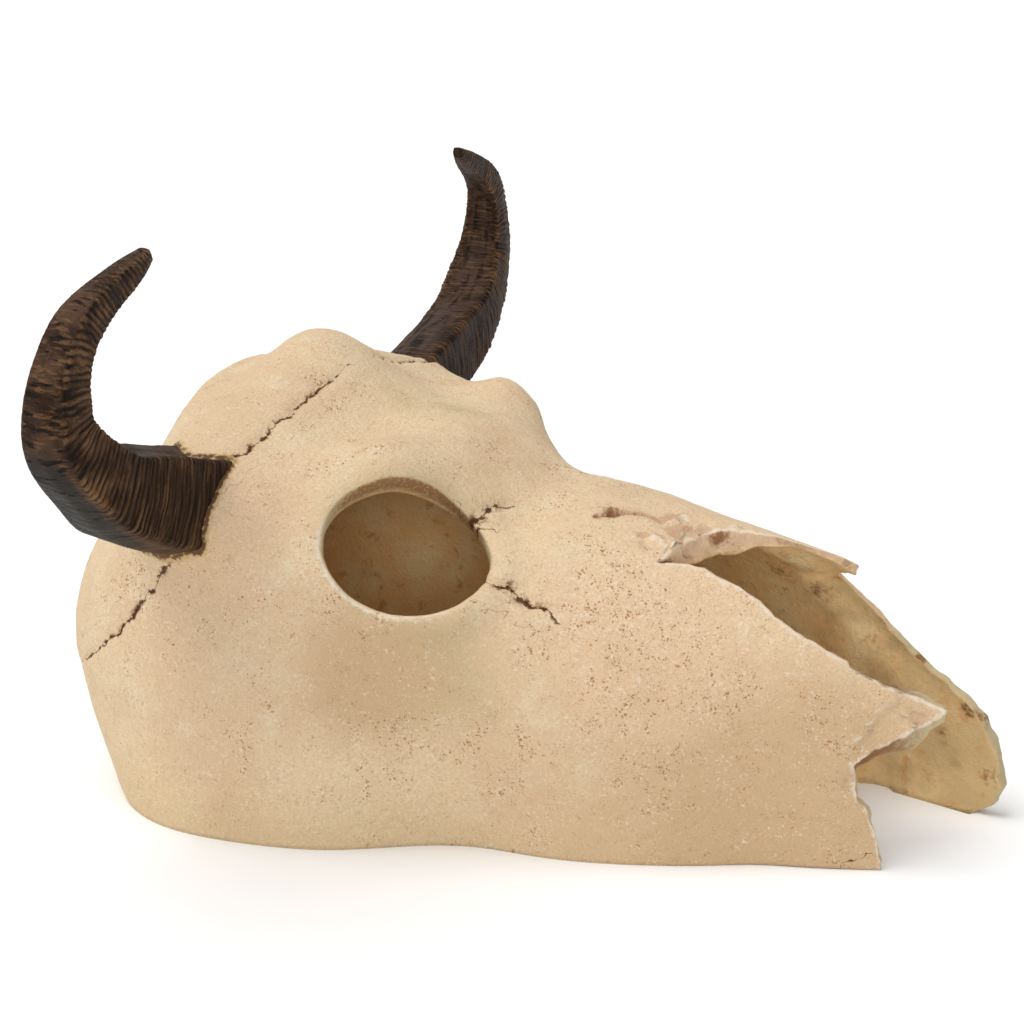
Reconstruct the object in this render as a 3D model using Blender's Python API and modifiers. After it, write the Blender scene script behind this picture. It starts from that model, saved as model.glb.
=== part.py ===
"""Bull skull ornament: a hollow hide cast in resin in the shape of a bull's skull.

One thin shell makes the cranium, forehead, cheeks and muzzle. It is open underneath, at both eye
sockets and at the broken nose. Two painted horns are set into seats beside the poll.

The shell is modelled whole, as one loft of unlike arches from the back of the head to the nose. It
gets its wall from Solidify, its openings and horn seats from Booleans, and is parted into its bones
by thin cuts through the wall along the sutures. +X points to the nose, +Y to the animal's left, +Z up. The
origin is on the floor under the middle of the whole object.
"""
import bmesh
import bpy
import math
import numpy as np
from mathutils import Matrix, Vector

MM = 0.001
TINY = 1e-6               # keeps a length of nothing from dividing by nothing

# Driving sizes, all in millimetres, in a frame whose x is 0 a little in front of the horns.
CENTRE_X = 2.88           # middle of the length: this x becomes the origin
WALL = 4.5                # thickness of the cast wall
GAP = 0.3                 # clearance between parted or seated pieces
FLOOR_TRIM = 3.0          # the shell is modelled this far below the floor, then sanded flat
POLL_X = -46.0            # the widest section, between the horns
NOSE_X = 104.0            # front end of the longer muzzle wall
BACK_LENGTH = 38.5        # from the widest section to the back of the rim
BACK_SHARE = 0.30         # share of the lengthwise parameter u spent on the back
BACK_POWER = 2.4          # squareness of the back in plan
BACK_ARCH_POWER = 2.3     # squareness of the arch at the very back
BACK_WALL = 0.86          # height of the upright wall at the very back, as a share of the widest one
BACK_ROUNDING = 0.8       # how fast the crest falls towards the back: a smaller power falls later
ARC_LENGTH = 1.025        # length of a quarter of the vault over the straight line between its ends
SEAT_DEPTH = 2.5          # how far a horn is let into the wall
SEAT_BLOCK = 22.0         # thickness of the block that trims a horn's root
SEAT_U = (0.16, 0.45)     # stretch of the surface that the block follows, along and around
SEAT_V = (0.08, 0.75)
SEAT_STEPS = 12

# How many faces each stretch of the loft gets, lengthwise and around.
BACK_STEPS = 11
FACE_STEPS = 13
NOSE_STEPS = 9
SIDE_STEPS = 10
CROWN_STEPS = 8


def through(stations, values, level=False):
    """Smooth curve through (station, value) pairs; with level, it starts out level."""
    s = np.asarray(stations, float)
    v = np.asarray(values, float)
    step = np.diff(s)
    rise = np.diff(v) / step
    slope = np.empty_like(v)
    slope[1:-1] = (rise[:-1] * step[1:] + rise[1:] * step[:-1]) / (s[2:] - s[:-2])
    slope[0] = 0.0 if level else rise[0]
    slope[-1] = rise[-1]

    def curve(x):
        x = np.clip(x, s[0], s[-1])
        i = np.clip(np.searchsorted(s, x) - 1, 0, len(s) - 2)
        t = (x - s[i]) / step[i]
        start = v[i] * (1 + 2 * t) * (1 - t) ** 2 + slope[i] * step[i] * t * (1 - t) ** 2
        end = v[i + 1] * t * t * (3 - 2 * t) + slope[i + 1] * step[i] * t * t * (t - 1)
        return start + end

    return curve


# Side view: height of the crest. Plan: half width of the rim. Then the height of the upright part
# of the side walls, and the squareness of the arch above it.
CREST = through([-46, -32, -19, -8, 0, 8, 17, 28, 40, 62, 74, 86, 95, 104],
                [91, 88.5, 84, 80, 75, 70, 67.6, 65.9, 63.9, 59.1, 55.6, 47, 41, 35], level=True)
HALF_WIDTH = through([-46, -27, -8, 15, 37, 63, 87, 100, 104],
                     [58, 56, 49.5, 44, 38.5, 29.5, 21.5, 17, 15.5], level=True)
UPRIGHT = through([-46, -12, 15, 38, 60, 72, 104], [44, 40, 28, 20, 14, 10, 6], level=True)
POWER = through([-46, -30, -12, 5, 20, 38, 72, 104],
                [2.5, 2.45, 2.6, 2.3, 2.1, 1.9, 1.9, 2.0], level=True)
BACK_OVERHANG = through([0, 18, 36, 55, 72, 84, 95, 110], [2.4, 10.6, 13.6, 7.6, -3.5, -4.5, 3.5, 4])

# Swellings and hollows: centre, radii, direction, height. One with y = 0 stands on the midline,
# and the others are on both sides.
SWELLINGS = {
    "poll": ((-49.5, 0, 96), (11.5, 17, 10), (0, 0, 1), 7.8),
    "crown": ((-39, 0, 94), (7, 14, 10), (0, 0, 1), 1.6),
    "nape knob": ((-70, 0, 86), (9, 31, 14), (-0.7, 0, 0.7), 4.3),
    "poll dip": ((-61, 14, 93), (4.5, 13, 12), (0, 0, -1), 2.6),
    "horn boss": ((-50, 50, 74), (15, 13, 14), (0, 1, -0.15), 13.5),
    "brow": ((-18, 31, 79), (9, 10, 9), (0, 0.3, 1), 4.0),
    "brow front": ((-1, 34, 70), (7, 9, 14), (0, -0.5, -1), 5.0),
    "forehead hollow": ((-29, 22, 87), (17, 19, 10), (0, 0, -1), 6.0),
    "nose root": ((5, 22, 71), (10, 11, 12), (0, 0, -1), 5.0),
    "jaw hollow": ((4, 50, 2), (16, 14, 20), (0, -1, 0), 5.0),
    "cheek hollow": ((-10, 52, 38), (24, 14, 12), (0, -1, 0), 2.0),
    "muzzle hollow": ((62, 30, 2), (9, 8, 9), (0, -1, 0), 1.2),
}
BELLY = 2.2               # how far the cheeks swell past the rim
BELLY_HEIGHT = 31.0
BELLY_SPREAD = 20.0
BELLY_FRONT = 60.0        # the belly fades out from the middle to this x
BELLY_INNER = 30.0        # and towards the midline from this y
OVERHANG_CURVED = 0.35    # share of the back's overhang that eases in like an S, the rest like a power
OVERHANG_POWER = 1.5

# The right eye socket: centre, its long and short directions in the skull, and its half sizes.
EYE_CENTRE = Vector((-8.5, -43.2, 63.0))
EYE_ALONG = Vector((0.899, 0.414, -0.143)).normalized()
EYE_UP = Vector((-0.091, 0.497, 0.863)).normalized()
EYE_HALF = (17.5, 14.0)
EYE_RING = 1.28           # outer edge of the socket's ring, in hole sizes
EYE_LIP = 1.6             # how far the lip stands out
EYE_LIP_RADIUS = 1.1      # where the lip is highest, in hole sizes, and how wide it is
EYE_LIP_WIDTH = 0.2
EYE_LIP_DEPTH = 12.0      # the lip is kept to this distance from the socket's plane
EYE_REACH = 18.0          # half depth of the cutters
EYE_SIDES = 24            # sides of the cutters

# Broken edges of the nose in surface parameters (u lengthwise, v around from the right rim, -1, over
# the crest, 0, to the left rim, 1). The notch is where the right wall parts from the nose bridge.
NOTCH = (0.684, -0.243)
SPIKE = (0.961, -0.392)
RIGHT_LOW = (0.919, -1.0)
BRIDGE_TIP = (0.851, 0.11)
LEFT_LOW = (0.960, 1.0)
RIGHT_TOP_EDGE = [NOTCH, (0.715, -0.225), (0.765, -0.265), (0.828, -0.38), (0.875, -0.423),
                  (0.92, -0.407), SPIKE]
RIGHT_FRONT_EDGE = [RIGHT_LOW, (0.904, -0.805), (0.885, -0.69), (0.93, -0.538), SPIKE]
BRIDGE_EDGE = [NOTCH, (0.692, -0.188), (0.704, -0.122), (0.722, -0.06), (0.745, -0.02),
               (0.77, 0.01), (0.80, 0.045), (0.83, 0.08), BRIDGE_TIP]
LEFT_FRONT_EDGE = [BRIDGE_TIP, (0.838, 0.23), (0.822, 0.302), (0.852, 0.413), (0.889, 0.475),
                   (0.93, 0.515), (0.954, 0.53), (0.976, 0.572), (0.992, 0.672), (1.0, 0.82),
                   (0.993, 0.90), LEFT_LOW]
U_TO_LENGTH = 214.0       # rough millimetres per unit of u and of v, to space points along an edge
V_TO_LENGTH = 60.0

# The left horn: points on its axis from inside the wall to the tip, then its half size along it.
HORN_AXIS = [(-53.9, 43.0, 67.0), (-52.6, 73.2, 77.0), (-50.9, 89.3, 83.9), (-51.4, 101.8, 97.0),
             (-49.9, 97.1, 114.6), (-47.4, 74.6, 125.6)]
HORN_HALF = through([0, 0.25, 0.45, 0.62, 0.78, 0.9, 0.97, 1], [12.0, 10.2, 7.7, 6.1, 4.6, 3.4, 2.4, 1.6])
# Corners of the horn's section: radius, in half sizes, every 45 degrees from the front face round by
# its outer face. Three ridges stand out, and the inner face is a trough. The corner at the back has
# its own radius along each horn: it starts low at the left root and high at the right one.
HORN_SECTION = [0.88, 1.10, 0.95, 1.13, 0.88, 1.04, 0.80, 1.20]
BACK_CORNER = 5
HORN_BACK = {
    1: through([0, 0.22, 0.34, 0.47, 0.7, 0.85, 1], [0.84, 0.76, 1.0, 1.26, 1.26, 1.1, 0.9]),
    -1: through([0, 0.22, 0.34, 0.47, 0.7, 0.85, 1], [1.22, 1.12, 1.0, 1.26, 1.26, 1.1, 0.9]),
}
HORN_RINGS = 20
HORN_SIDES = 16

# The suture behind the forehead, drawn in the side view as (x, z) and cut straight across. Then the
# point where the right temple's suture leaves it, where the nose bone meets the forehead, and the
# places, in u and v, of the cuts around the muzzle and over the bridge.
POLL_SUTURE = [(-30, 104), (-38, 90), (-41, 86.5), (-46.6, 78.5), (-51.3, 60), (-59.6, 53.3),
               (-67, 44), (-71, 30), (-72, -6)]
TEMPLE_START = (-50.28, -58.0, 64.0)
NOSE_ROOT_X = 18.0
MUZZLE_U = 0.681
MUZZLE_V = (-1.0, -0.8, -0.6, -0.4)
BRIDGE_V = (-0.24, -0.12, 0.0, 0.12, 0.24)
MUZZLE_TOP = 0.985        # where the muzzle's cut meets the nose's, as a share from eye to notch
RIGHT_NOSE_END = [(0.714, -0.193)]                              # cut from the notch into the opening
LEFT_NOSE_END = [(0.75, -0.28), (0.822, -0.302), (0.88, -0.30)]  # and on the left to the front edge
CUT_REACH = 9.0           # half depth of a suture's cut
POLL_REACH = 90.0         # half width of the cut across the whole head
NORMAL_STEP = 0.002       # step in u and v to find the surface's normal
FLOOR_BLOCK = (300.0, 300.0, 40.0)
SHARP_ANGLE = 40.0        # a horn's edges sharper than this, in degrees, aren't shaded smooth
# A point of the surface, (u, v), that lies in each bone.
BONES = {
    "cranium": (0.1, 0.3), "forehead": (0.42, 0.0), "nose_bridge": (0.62, 0.0),
    "orbit_right": (0.39, -0.42), "orbit_left": (0.39, 0.42),
    "cheek_right": (0.5, -0.8), "cheek_left": (0.5, 0.8),
    "muzzle_right": (0.8, -0.8), "muzzle_left": (0.8, 0.8),
}

# Paint and resin: colour, roughness.
FINISHES = {
    "bone": ((0.58, 0.43, 0.22, 1.0), 0.62),
    "horn": ((0.07, 0.045, 0.03, 1.0), 0.5),
}


def superellipse(angle, power):
    """Unit point of a superellipse in the direction of an angle."""
    c, s = np.cos(angle), np.sin(angle)
    radius = (np.abs(c) ** power + np.abs(s) ** power) ** (-1 / power)
    return radius * c, radius * s


def arch(u, v):
    """Bare arch of the loft: upright walls under a superelliptic vault, at u along and v around."""
    behind = u < BACK_SHARE
    back_c, back_s = superellipse(np.clip(u / BACK_SHARE, 0, 1) * math.pi / 2, BACK_POWER)
    x_front = POLL_X + (NOSE_X - POLL_X) * np.clip((u - BACK_SHARE) / (1 - BACK_SHARE), 0, 1)
    x = np.where(behind, POLL_X - BACK_LENGTH * back_c, x_front)
    full = np.where(behind, back_s, 1.0)
    half = HALF_WIDTH(x_front) * full
    wall = UPRIGHT(x_front) * (BACK_WALL + (1 - BACK_WALL) * full)
    vault_height = (CREST(x_front) - UPRIGHT(x_front)) * full ** BACK_ROUNDING
    height = np.where(behind, wall + vault_height, CREST(x_front))
    power = BACK_ARCH_POWER + (POWER(x_front) - BACK_ARCH_POWER) * full
    vault = ARC_LENGTH * np.hypot(half, height - wall) + TINY
    share = wall / (wall + vault)
    around = np.abs(v)
    upright = around > 1 - share
    c, s = superellipse(np.clip(around / (1 - share), 0, 1) * math.pi / 2, power)
    y = np.where(upright, half, half * s)
    down = (wall + FLOOR_TRIM) * (1 - around) / share - FLOOR_TRIM
    z = np.where(upright, down, wall + (height - wall) * c)
    return np.stack([x, np.where(v < 0, -y, y), z], axis=-1)


def swell(points):
    """Add the back's overhang, the cheeks' belly, the swellings and the eye lips to the arches."""
    x, y, z = points[..., 0], points[..., 1], points[..., 2]
    side = np.sign(y)
    back = np.clip((POLL_X - x) / BACK_LENGTH, 0, 1)
    curved = back * back * (3 - 2 * back)
    ease = OVERHANG_CURVED * curved + (1 - OVERHANG_CURVED) * back ** OVERHANG_POWER
    points = points + np.stack([-ease * BACK_OVERHANG(z), 0 * x, 0 * x], axis=-1)
    fade = np.clip(1 - x / BELLY_FRONT, 0, 1) * np.clip(np.abs(y) / BELLY_INNER, 0, 1)
    belly = BELLY * np.exp(-((z - BELLY_HEIGHT) / BELLY_SPREAD) ** 2) * fade
    points = points + np.stack([0 * x, side * belly, 0 * x], axis=-1)
    total = np.zeros_like(points)
    for centre, radii, direction, height in SWELLINGS.values():
        for mirror in ((1, -1) if centre[1] else (1,)):
            flip = np.array([1, mirror, 1])
            offset = (points - np.array(centre) * flip) / np.array(radii)
            bell = np.exp(-(offset ** 2).sum(axis=-1))
            total += height * bell[..., None] * np.array(direction, float) * flip
    points = points + total
    for mirror in (1, -1):
        flip = np.array([1, mirror, 1])
        offset = (points - np.array(EYE_CENTRE) * flip) * flip
        facing = np.array(EYE_ALONG.cross(EYE_UP))
        along = offset @ np.array(EYE_ALONG) / EYE_HALF[0]
        up = offset @ np.array(EYE_UP) / EYE_HALF[1]
        near = np.exp(-(offset @ facing / EYE_LIP_DEPTH) ** 2)
        lip = EYE_LIP * np.exp(-((np.hypot(along, up) - EYE_LIP_RADIUS) / EYE_LIP_WIDTH) ** 2) * near
        points = points + lip[..., None] * facing * flip
    return points


def surface(u, v):
    """Outer surface of the skull at u along and v around, in millimetres."""
    u, v = np.broadcast_arrays(np.asarray(u, float), np.asarray(v, float))
    return swell(arch(u, v))


def spaced(line, t):
    """Points at the shares t of an edge's length, for an edge given in (u, v)."""
    line = np.array(line, float)
    lengths = np.hypot(*(np.diff(line, axis=0) * [U_TO_LENGTH, V_TO_LENGTH]).T)
    travelled = np.concatenate([[0], np.cumsum(lengths)]) / lengths.sum()
    return np.stack([np.interp(t, travelled, line[:, 0]), np.interp(t, travelled, line[:, 1])], axis=-1)


def patch(bottom, top, left, right, s, t):
    """Coons patch in (u, v) between four edges, at the shares s (lengthwise) and t (around)."""
    low, high = spaced(bottom, s)[:, None], spaced(top, s)[:, None]
    near, far = spaced(left, t)[None], spaced(right, t)[None]
    s, t = s[:, None, None], t[None, :, None]
    corners = [np.array(corner) for corner in (bottom[0], bottom[-1], top[0], top[-1])]
    blend = ((1 - s) * (1 - t) * corners[0] + s * (1 - t) * corners[1]
             + (1 - s) * t * corners[2] + s * t * corners[3])
    return (1 - t) * low + t * high + (1 - s) * near + s * far - blend


def add_grid(bm, points):
    """Add a grid of points in millimetres to a bmesh as a sheet of quads that face outward."""
    rows = [[bm.verts.new(Vector(p) * MM) for p in row] for row in points]
    for near, far in zip(rows[:-1], rows[1:]):
        for a, b, c, d in zip(near[:-1], near[1:], far[1:], far[:-1]):
            bm.faces.new((a, d, c, b))


def collection(name):
    """New collection in the scene."""
    made = bpy.data.collections.new(name)
    bpy.context.scene.collection.children.link(made)
    return made


def material(name):
    """Principled material in one of the finishes."""
    colour, roughness = FINISHES[name]
    made = bpy.data.materials.new(name)
    made.use_nodes = True
    shader = made.node_tree.nodes["Principled BSDF"]
    shader.inputs["Base Color"].default_value = colour
    shader.inputs["Roughness"].default_value = roughness
    shader.inputs["Metallic"].default_value = 0.0
    return made


def mesh_object(name, bm, owner):
    """Turn a bmesh into an object of a collection, moved so the origin is under the middle."""
    bm.transform(Matrix.Translation((-CENTRE_X * MM, 0, 0)))
    mesh = bpy.data.meshes.new(name)
    bm.to_mesh(mesh)
    bm.free()
    made = bpy.data.objects.new(name, mesh)
    owner.objects.link(made)
    return made


def hide(cutter):
    """Show a cutter as wire only."""
    cutter.hide_render = True
    cutter.display_type = "WIRE"
    return cutter


def solidify(thing, thickness, offset):
    """Give an open sheet a thickness."""
    modifier = thing.modifiers.new("wall", "SOLIDIFY")
    modifier.thickness = thickness * MM
    modifier.offset = offset
    modifier.use_even_offset = True
    modifier.use_quality_normals = True
    thing.modifiers.new("flat faces", "TRIANGULATE")


def cut(thing, cutter):
    """Take a cutter away from a solid with an exact Boolean."""
    modifier = thing.modifiers.new("cut " + cutter.name, "BOOLEAN")
    modifier.operation = "DIFFERENCE"
    modifier.solver = "EXACT"
    modifier.object = cutter


def shell(owner):
    """The whole skull as an open sheet of arches, given its wall by Solidify."""
    side = np.linspace(-1, NOTCH[1], SIDE_STEPS + 1)
    crown = np.linspace(NOTCH[1], -NOTCH[1], CROWN_STEPS + 1)
    around = np.concatenate([side, crown[1:], -side[::-1][1:]])
    back = np.linspace(0, BACK_SHARE, BACK_STEPS + 1)
    face = np.linspace(BACK_SHARE, NOTCH[0], FACE_STEPS + 1)[1:]
    along = np.concatenate([back, face])
    nose = np.linspace(0, 1, NOSE_STEPS + 1)
    bm = bmesh.new()
    add_grid(bm, surface(along[:, None], around[None, :]))
    right = patch([(NOTCH[0], -1), RIGHT_LOW], RIGHT_TOP_EDGE, [(NOTCH[0], -1), NOTCH],
                  RIGHT_FRONT_EDGE, nose, (side + 1) / (NOTCH[1] + 1))
    add_grid(bm, surface(right[..., 0], right[..., 1]))
    rest = around[SIDE_STEPS:]
    left = patch(BRIDGE_EDGE, [(NOTCH[0], 1), LEFT_LOW], [NOTCH, (NOTCH[0], 1)],
                 LEFT_FRONT_EDGE, nose, (rest - NOTCH[1]) / (1 - NOTCH[1]))
    add_grid(bm, surface(left[..., 0], left[..., 1]))
    bmesh.ops.remove_doubles(bm, verts=bm.verts, dist=0.01 * MM)
    made = mesh_object("shell", bm, owner)
    solidify(made, WALL, -1)
    return made


def floor_cutter(owner):
    """Block under the floor, which sands the rim flat."""
    bm = bmesh.new()
    bmesh.ops.create_cube(bm, size=1)
    bmesh.ops.scale(bm, verts=bm.verts, vec=Vector(FLOOR_BLOCK) * MM)
    bmesh.ops.translate(bm, verts=bm.verts, vec=Vector((0, 0, -FLOOR_BLOCK[2] / 2)) * MM)
    return hide(mesh_object("floor_cutter", bm, owner))


def eye_cutter(side, name, scale, hollow, owner):
    """Elliptic plug through an eye socket, or with hollow a thin tube around it."""
    flip = Vector((1, side, 1))
    along = EYE_ALONG * EYE_HALF[0] * scale * flip
    up = EYE_UP * EYE_HALF[1] * scale * flip
    facing = EYE_ALONG.cross(EYE_UP) * flip
    place = Matrix((along, up, facing)).transposed().to_4x4()
    place.translation = EYE_CENTRE * flip
    bm = bmesh.new()
    bmesh.ops.create_cone(bm, cap_ends=not hollow, segments=EYE_SIDES, radius1=1, radius2=1,
                          depth=2 * EYE_REACH)
    bm.transform(place)
    bmesh.ops.scale(bm, verts=bm.verts, vec=Vector((MM, MM, MM)))
    bmesh.ops.recalc_face_normals(bm, faces=bm.faces)
    made = mesh_object(name, bm, owner)
    if hollow:
        solidify(made, GAP, 0)
    return hide(made)


def normal_at(u, v):
    """Outward normal of the skull's surface."""
    du = surface(u + NORMAL_STEP, v) - surface(u - NORMAL_STEP, v)
    dv = surface(u, v + NORMAL_STEP) - surface(u, v - NORMAL_STEP)
    return Vector(np.cross(du, dv)).normalized()


def on_surface(u, v):
    """Rung of a suture: a point of the surface and the way its cut runs through the wall."""
    return Vector(surface(u, v)), normal_at(u, v)


def between(first, last, share):
    """Rung part of the way from one rung to another."""
    return first[0].lerp(last[0], share), first[1].lerp(last[1], share)


def mirrored(rungs, side):
    """The rungs of the right side, or their mirror image on the left."""
    flip = Vector((1, -side, 1))
    return [(point * flip, direction * flip) for point, direction in rungs]


def suture_cutter(name, rungs, owner, reach=CUT_REACH):
    """Thin strip through the wall along the rungs of a suture."""
    bm = bmesh.new()
    add_grid(bm, [[point - way * reach, point + way * reach] for point, way in rungs])
    made = mesh_object(name, bm, owner)
    solidify(made, GAP, 0)
    return hide(made)


def sutures(owner):
    """The thin cutters that part the shell into bones."""
    across = Vector((0, 1, 0))
    poll = [(Vector((x, 0, z)), across) for x, z in POLL_SUTURE]
    made = [suture_cutter("poll_suture", poll, owner, POLL_REACH)]
    facing = EYE_ALONG.cross(EYE_UP)
    eye_end = EYE_ALONG * EYE_HALF[0] * EYE_RING
    eye_back = (EYE_CENTRE - eye_end, facing)
    eye_front = (EYE_CENTRE + eye_end, facing)
    notch = on_surface(*NOTCH)
    root = between(eye_front, notch, (NOSE_ROOT_X - eye_front[0].x) / (notch[0].x - eye_front[0].x))
    temple_start = (Vector(TEMPLE_START), -across)
    muzzle_top = between(eye_front, notch, MUZZLE_TOP)
    for side, label, end in ((-1, "right", RIGHT_NOSE_END), (1, "left", LEFT_NOSE_END)):
        nose = [eye_front, notch] + [on_surface(*place) for place in end]
        muzzle = [on_surface(MUZZLE_U, v) for v in MUZZLE_V] + [muzzle_top]
        low = muzzle[0][0].copy()
        low.z = -2 * FLOOR_TRIM
        muzzle.insert(0, (low, muzzle[0][1]))
        for name, rungs in (("temple", [temple_start, eye_back]), ("nose", nose), ("muzzle", muzzle)):
            made.append(suture_cutter(name + "_suture_" + label, mirrored(rungs, side), owner))
    root_u = BACK_SHARE + (1 - BACK_SHARE) * (NOSE_ROOT_X - POLL_X) / (NOSE_X - POLL_X)
    bridge = mirrored([root], -1) + [on_surface(root_u, v) for v in BRIDGE_V] + mirrored([root], 1)
    made.append(suture_cutter("nose_root_suture", bridge, owner))
    return made


def horn(side, name, grow, owner):
    """Horn swept along its axis: a quadrilateral section with three ridges and a trough."""
    axis = np.array(HORN_AXIS, float)
    count = len(axis) - 1
    ends = np.vstack([2 * axis[0] - axis[1], axis, 2 * axis[-1] - axis[-2]])
    t = np.linspace(0, 1, HORN_RINGS + 1)
    i = np.minimum((t * count).astype(int), count - 1)
    f = (t * count - i)[:, None]
    p0, p1, p2, p3 = ends[i], ends[i + 1], ends[i + 2], ends[i + 3]
    linear, square, cube = p2 - p0, 2 * p0 - 5 * p1 + 4 * p2 - p3, 3 * p1 - p0 - 3 * p2 + p3
    centre = 0.5 * (2 * p1 + linear * f + square * f ** 2 + cube * f ** 3)
    heading = linear + 2 * square * f + 3 * cube * f ** 2
    heading /= np.linalg.norm(heading, axis=1, keepdims=True)
    outward = np.cross(heading, [1.0, 0, 0])
    outward /= np.linalg.norm(outward, axis=1, keepdims=True)
    forward = np.cross(outward, heading)
    angle = np.arange(HORN_SIDES) * 2 * math.pi / HORN_SIDES
    eighth = angle / (math.pi / 4)
    low = np.floor(eighth).astype(int) % 8
    share = eighth - np.floor(eighth)
    corners = np.tile(HORN_SECTION, (HORN_RINGS + 1, 1))
    corners[:, BACK_CORNER] = HORN_BACK[side](t)
    section = corners[:, low] * (1 - share) + corners[:, (low + 1) % 8] * share
    radius = HORN_HALF(t)[:, None] * section + grow
    rings = (centre[:, None] + radius[..., None]
             * (np.cos(angle)[None, :, None] * forward[:, None]
                + np.sin(angle)[None, :, None] * outward[:, None]))
    rings[..., 1] *= side
    bm = bmesh.new()
    verts = [[bm.verts.new(Vector(p) * MM) for p in ring] for ring in rings]
    for near, far in zip(verts[:-1], verts[1:]):
        for k in range(HORN_SIDES):
            bm.faces.new((near[k - 1], near[k], far[k], far[k - 1]))
    bm.faces.new(verts[0])
    bm.faces.new(verts[-1])
    bmesh.ops.recalc_face_normals(bm, faces=bm.faces)
    return mesh_object(name, bm, owner)


def horn_seat(side, name, depth, owner):
    """Curved block that starts a little under the skull's surface, behind a horn."""
    u = np.linspace(*SEAT_U, SEAT_STEPS)
    v = side * np.linspace(*SEAT_V, SEAT_STEPS)
    points = surface(u[:, None], v[None, :])
    inward = side * np.cross(np.gradient(points, axis=1), np.gradient(points, axis=0))
    inward /= np.linalg.norm(inward, axis=-1, keepdims=True)
    bm = bmesh.new()
    add_grid(bm, (points + inward * depth)[::side])
    made = mesh_object(name, bm, owner)
    solidify(made, SEAT_BLOCK, -1)
    return hide(made)


def islands(bm):
    """Lists of connected vertices of a bmesh, in the order of their first vertices."""
    seen = set()
    found = []
    for start in bm.verts:
        if start in seen:
            continue
        seen.add(start)
        piece = [start]
        for vertex in piece:
            for edge in vertex.link_edges:
                other = edge.other_vert(vertex)
                if other not in seen:
                    seen.add(other)
                    piece.append(other)
        found.append(piece)
    return found


def part_bones(whole, owner):
    """Split the cut shell into its closed pieces, each named by the surface point it holds."""
    bpy.context.view_layer.update()
    evaluated = whole.evaluated_get(bpy.context.evaluated_depsgraph_get())
    for name, place in BONES.items():
        target = Vector(surface(*place)) * MM - Vector((CENTRE_X * MM, 0, 0))
        bm = bmesh.new()
        bm.from_mesh(evaluated.to_mesh())
        pieces = islands(bm)
        nearest = [min((vertex.co - target).length for vertex in piece) for piece in pieces]
        chosen = nearest.index(min(nearest))
        others = [vertex for i, piece in enumerate(pieces) if i != chosen for vertex in piece]
        bmesh.ops.delete(bm, geom=others, context="VERTS")
        mesh = bpy.data.meshes.new(name)
        bm.to_mesh(mesh)
        bm.free()
        owner.objects.link(bpy.data.objects.new(name, mesh))
    bpy.data.objects.remove(whole, do_unlink=True)


def main():
    """Build the skull's shell, cut and part it, and add the horns and the finishes."""
    for thing in list(bpy.data.objects):
        bpy.data.objects.remove(thing, do_unlink=True)
    skull = collection("bull_skull")
    cutters = collection("cutters")
    whole = shell(skull)
    cut(whole, floor_cutter(cutters))
    for side, label in ((1, "right"), (-1, "left")):
        cut(whole, eye_cutter(side, "eye_hole_" + label, 1.0, False, cutters))
        cut(whole, eye_cutter(side, "eye_ring_" + label, EYE_RING, True, cutters))
    for side, label in ((-1, "right"), (1, "left")):
        cut(horn(side, "horn_" + label, 0.0, skull), horn_seat(side, "seat_" + label, SEAT_DEPTH, cutters))
        socket = hide(horn(side, "socket_" + label, GAP, cutters))
        cut(socket, horn_seat(side, "socket_floor_" + label, SEAT_DEPTH + GAP, cutters))
        cut(whole, socket)
    for cutter in sutures(cutters):
        cut(whole, cutter)
    part_bones(whole, skull)
    finishes = {name: material(name) for name in FINISHES}
    for piece in skull.objects:
        piece.data.materials.clear()
        piece.data.materials.append(finishes["horn" if "horn" in piece.name else "bone"])
        if "horn" in piece.name:
            piece.data.shade_smooth()
            piece.data.set_sharp_from_angle(angle=math.radians(SHARP_ANGLE))


main()
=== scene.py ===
# %% [markdown]
# # A bull skull ornament
# The object is a hollow ornament cast in resin and painted as weathered bone, with two dark horns.
# It stands on a flat rim and is open underneath, at both eye sockets and at the broken nose. The
# solid model holds its size and its pieces; this script makes the surface that is seen. Everything
# below is worked out in millimetres, in the skull's own frame: x to the nose, y to the animal's left,
# z up. One shift brings it to the solid model's origin.

# %% Load the solid model
import itertools
import math
import bpy
import numpy as np
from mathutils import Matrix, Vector


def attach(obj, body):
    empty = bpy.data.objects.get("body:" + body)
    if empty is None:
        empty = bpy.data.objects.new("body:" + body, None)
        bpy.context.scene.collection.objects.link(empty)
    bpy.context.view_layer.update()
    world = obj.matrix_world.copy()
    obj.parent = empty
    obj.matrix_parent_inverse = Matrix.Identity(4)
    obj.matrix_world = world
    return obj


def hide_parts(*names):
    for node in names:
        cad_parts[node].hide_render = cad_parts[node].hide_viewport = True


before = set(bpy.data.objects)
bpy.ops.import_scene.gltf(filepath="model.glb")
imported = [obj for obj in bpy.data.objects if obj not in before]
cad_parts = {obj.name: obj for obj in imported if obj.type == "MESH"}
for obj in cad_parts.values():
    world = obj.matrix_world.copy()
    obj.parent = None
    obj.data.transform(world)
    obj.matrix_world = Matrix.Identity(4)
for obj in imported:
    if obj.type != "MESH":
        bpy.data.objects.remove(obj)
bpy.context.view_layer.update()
MM = 0.001
CENTRE_X = 2.88           # the model's origin lies under this x of the skull
SHELL_NODES = [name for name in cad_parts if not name.startswith("horn")]

# %% [markdown]
# ## Camera, floor and light
# The ornament was photographed from the front right, a little above it, with a long lens, so its
# near side hardly grows. A white floor, even white light from all round and two soft lights give the
# plain background of such a picture. None of them is part of the object.

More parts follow.
